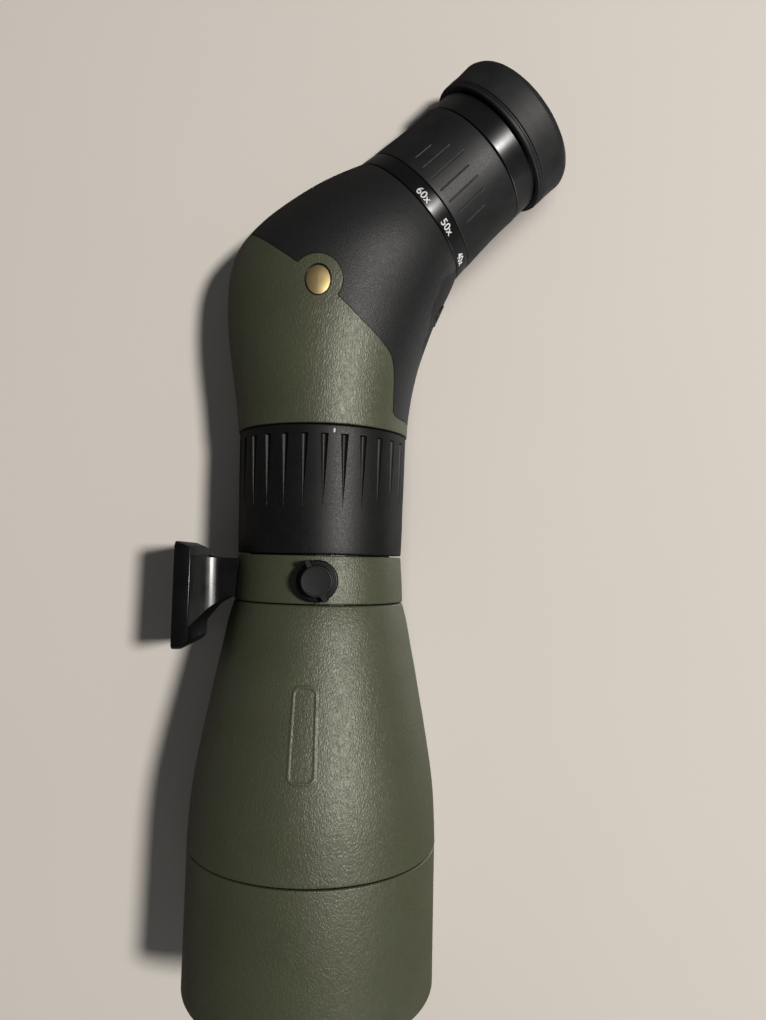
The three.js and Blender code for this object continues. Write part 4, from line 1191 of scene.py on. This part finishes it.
def floor_material():
    mat = Shader("floor_pale")
    tooth = mat.noise(900.0, detail=4.0, rough=0.6)
    patches = mat.noise(6.0, detail=3.0, rough=0.5)
    color = mat.mix(patches, (0.70, 0.655, 0.60), (0.735, 0.69, 0.635))
    path = mat.node("ShaderNodeLightPath").outputs
    # dimmer in reflections
    mat.set(Base_Color=mat.mix(path["Is Glossy Ray"], color, (0.20, 0.19, 0.175)),
            Roughness=0.9, Specular_IOR_Level=0.15,
            Normal=mat.bump(tooth, strength=0.15, distance_mm=0.2))
    # clear to cameras that look aslant, clear from behind, and never blocking light
    geometry = mat.node("ShaderNodeNewGeometry")
    look = mat.node("ShaderNodeVectorTransform", vector_type="VECTOR",
                    convert_from="CAMERA", convert_to="WORLD")
    look.inputs[0].default_value = (0.0, 0.0, 1.0)
    face_on = mat.vector_math("DOT_PRODUCT", look.outputs[0], (0.0, 1.0, 0.0))
    least_face_on = 0.80
    aslant = mat.math("LESS_THAN", mat.math("ABSOLUTE", face_on.outputs["Value"]), least_face_on)
    slanted = mat.math("MULTIPLY", aslant, path["Is Camera Ray"])
    side = mat.vector_math("DOT_PRODUCT", geometry.outputs["Incoming"], (0.0, -1.0, 0.0))
    behind = mat.math("LESS_THAN", side.outputs["Value"], 0.0)
    clear = mat.math("MAXIMUM", slanted, mat.math("MAXIMUM", behind, path["Is Shadow Ray"]))
    mixed = mat.node("ShaderNodeMixShader")
    transparent = mat.node("ShaderNodeBsdfTransparent")
    for i, socket in enumerate((clear, mat.surface.outputs[0], transparent.outputs[0])):
        mat.tree.links.new(socket, mixed.inputs[i])
    output = mat.tree.nodes["Material Output"]
    mat.tree.links.new(mixed.outputs[0], output.inputs["Surface"])
    return mat.material


def floor_height(x, z):
    """Gauge y of the floor at gauge x and z."""
    from_main = np.hypot(x - np.clip(x, BEND_X, 175.0), z)
    share = np.clip((z - (x - BEND_X)) / (2 * EYE_REACH), 0, 1)
    from_eye = np.hypot(x - (BEND_X - EYE_REACH * share), z - EYE_REACH * share)
    reach = np.interp(x, [-110.0, -50.0, 17.0, 114.0], [40.0, 38.0, 38.0, 46.0])
    beside_main = np.clip((from_main - reach + 30.0) / 30.0, 0, 1)
    beside_eye = np.clip((from_eye - 8.0) / 26.0, 0, 1)
    beside = np.minimum(beside_main, beside_eye)
    return FLOOR_TOUCH + FLOOR_TILT * x - FLOOR_RISE * beside * beside * (3 - 2 * beside)


def stretched(low, high, step, far):
    """Even stations between low and high, then ever wider ones out to far on both sides."""
    outside, gap = [], step
    while not outside or outside[-1] < far:
        gap *= 1.35
        outside.append((outside[-1] if outside else 0.0) + gap)
    return np.array([low - distance for distance in reversed(outside)]
                    + list(np.arange(low, high + 0.1, step))
                    + [high + distance for distance in outside])


def make_floor():
    xs = stretched(-260.0, 240.0, FLOOR_STEP, 2800.0)
    zs = stretched(-120.0, 160.0, FLOOR_STEP, 2800.0)
    x, z = np.meshgrid(xs, zs, indexing="ij")
    points = to_scene(np.stack([x, floor_height(x, z), z], -1)).reshape(-1, 3)
    row = len(zs)
    corners = [i * row + j for i in range(len(xs) - 1) for j in range(row - 1)]
    faces = [(first, first + row, first + row + 1, first + 1) for first in corners]
    mesh = bpy.data.meshes.new("floor")
    mesh.from_pydata([tuple(point) for point in points], [], faces)
    mesh.update()
    floor = bpy.data.objects.new("floor", mesh)
    bpy.context.scene.collection.objects.link(floor)
    for polygon in mesh.polygons:
        polygon.use_smooth = True
    mesh.materials.append(floor_material())
    return floor


make_floor()


# ---------------------------------------------------------------- world, lights and camera
def make_world():
    """Dim cool surroundings, with a pale backdrop for the camera only."""
    world = bpy.data.worlds.new("studio")
    bpy.context.scene.world = world
    world.use_nodes = True
    nodes, links = world.node_tree.nodes, world.node_tree.links
    dim = nodes["Background"]
    pale = nodes.new("ShaderNodeBackground")
    for node, color, strength in ((dim, (0.90, 0.92, 0.95, 1), 0.085),
                                  (pale, (0.66, 0.62, 0.57, 1), 0.85)):
        node.inputs["Color"].default_value = color
        node.inputs["Strength"].default_value = strength
    path = nodes.new("ShaderNodeLightPath")
    mixed = nodes.new("ShaderNodeMixShader")
    links.new(path.outputs["Is Camera Ray"], mixed.inputs[0])
    links.new(dim.outputs[0], mixed.inputs[1])
    links.new(pale.outputs[0], mixed.inputs[2])
    links.new(mixed.outputs[0], nodes["World Output"].inputs["Surface"])


def area_light(name, location, target, size, power, color=(1, 1, 1), shape="RECTANGLE"):
    """Area light; places and size in metres, power in watts."""
    light = bpy.data.lights.new(name, "AREA")
    light.shape = shape
    light.size = size
    light.size_y = size
    light.energy = power
    light.color = color
    lamp = bpy.data.objects.new(name, light)
    lamp.location = location
    aim = Vector(target) - Vector(location)
    lamp.rotation_euler = aim.to_track_quat("-Z", "Y").to_euler()
    bpy.context.scene.collection.objects.link(lamp)


def make_camera():
    data = bpy.data.cameras.new("camera")
    data.sensor_fit = "AUTO"
    data.sensor_width = SENSOR_MM
    data.lens = LENS_MM
    data.clip_start = 0.01
    data.clip_end = 20.0
    camera = bpy.data.objects.new("camera", data)
    rotation = Matrix((VIEW_RIGHT, VIEW_UP, -VIEW_FORWARD)).transposed()
    camera.matrix_world = Matrix.Translation(Vector(CAMERA * 0.001)) @ rotation.to_4x4()
    bpy.context.scene.collection.objects.link(camera)
    bpy.context.scene.camera = camera


make_world()
area_light("key", from_view(right=1130, up=230, depth=-1560),
           target=from_view(right=0, up=0, depth=320), size=0.30, power=44.0,
           color=(1.0, 0.972, 0.935), shape="DISK")
area_light("back_fill", (-0.5, 1.3, 0.9), target=(0, 0, 0.06), size=1.2, power=32.0)
area_light("front_fill", (1.35, 0.30, 0.35), target=(0.15, 0, 0.06), size=0.9, power=14.0)
make_camera()
bpy.context.scene.view_settings.view_transform = "Standard"
bpy.context.scene.view_settings.look = "None"

bpy.context.view_layer.update()
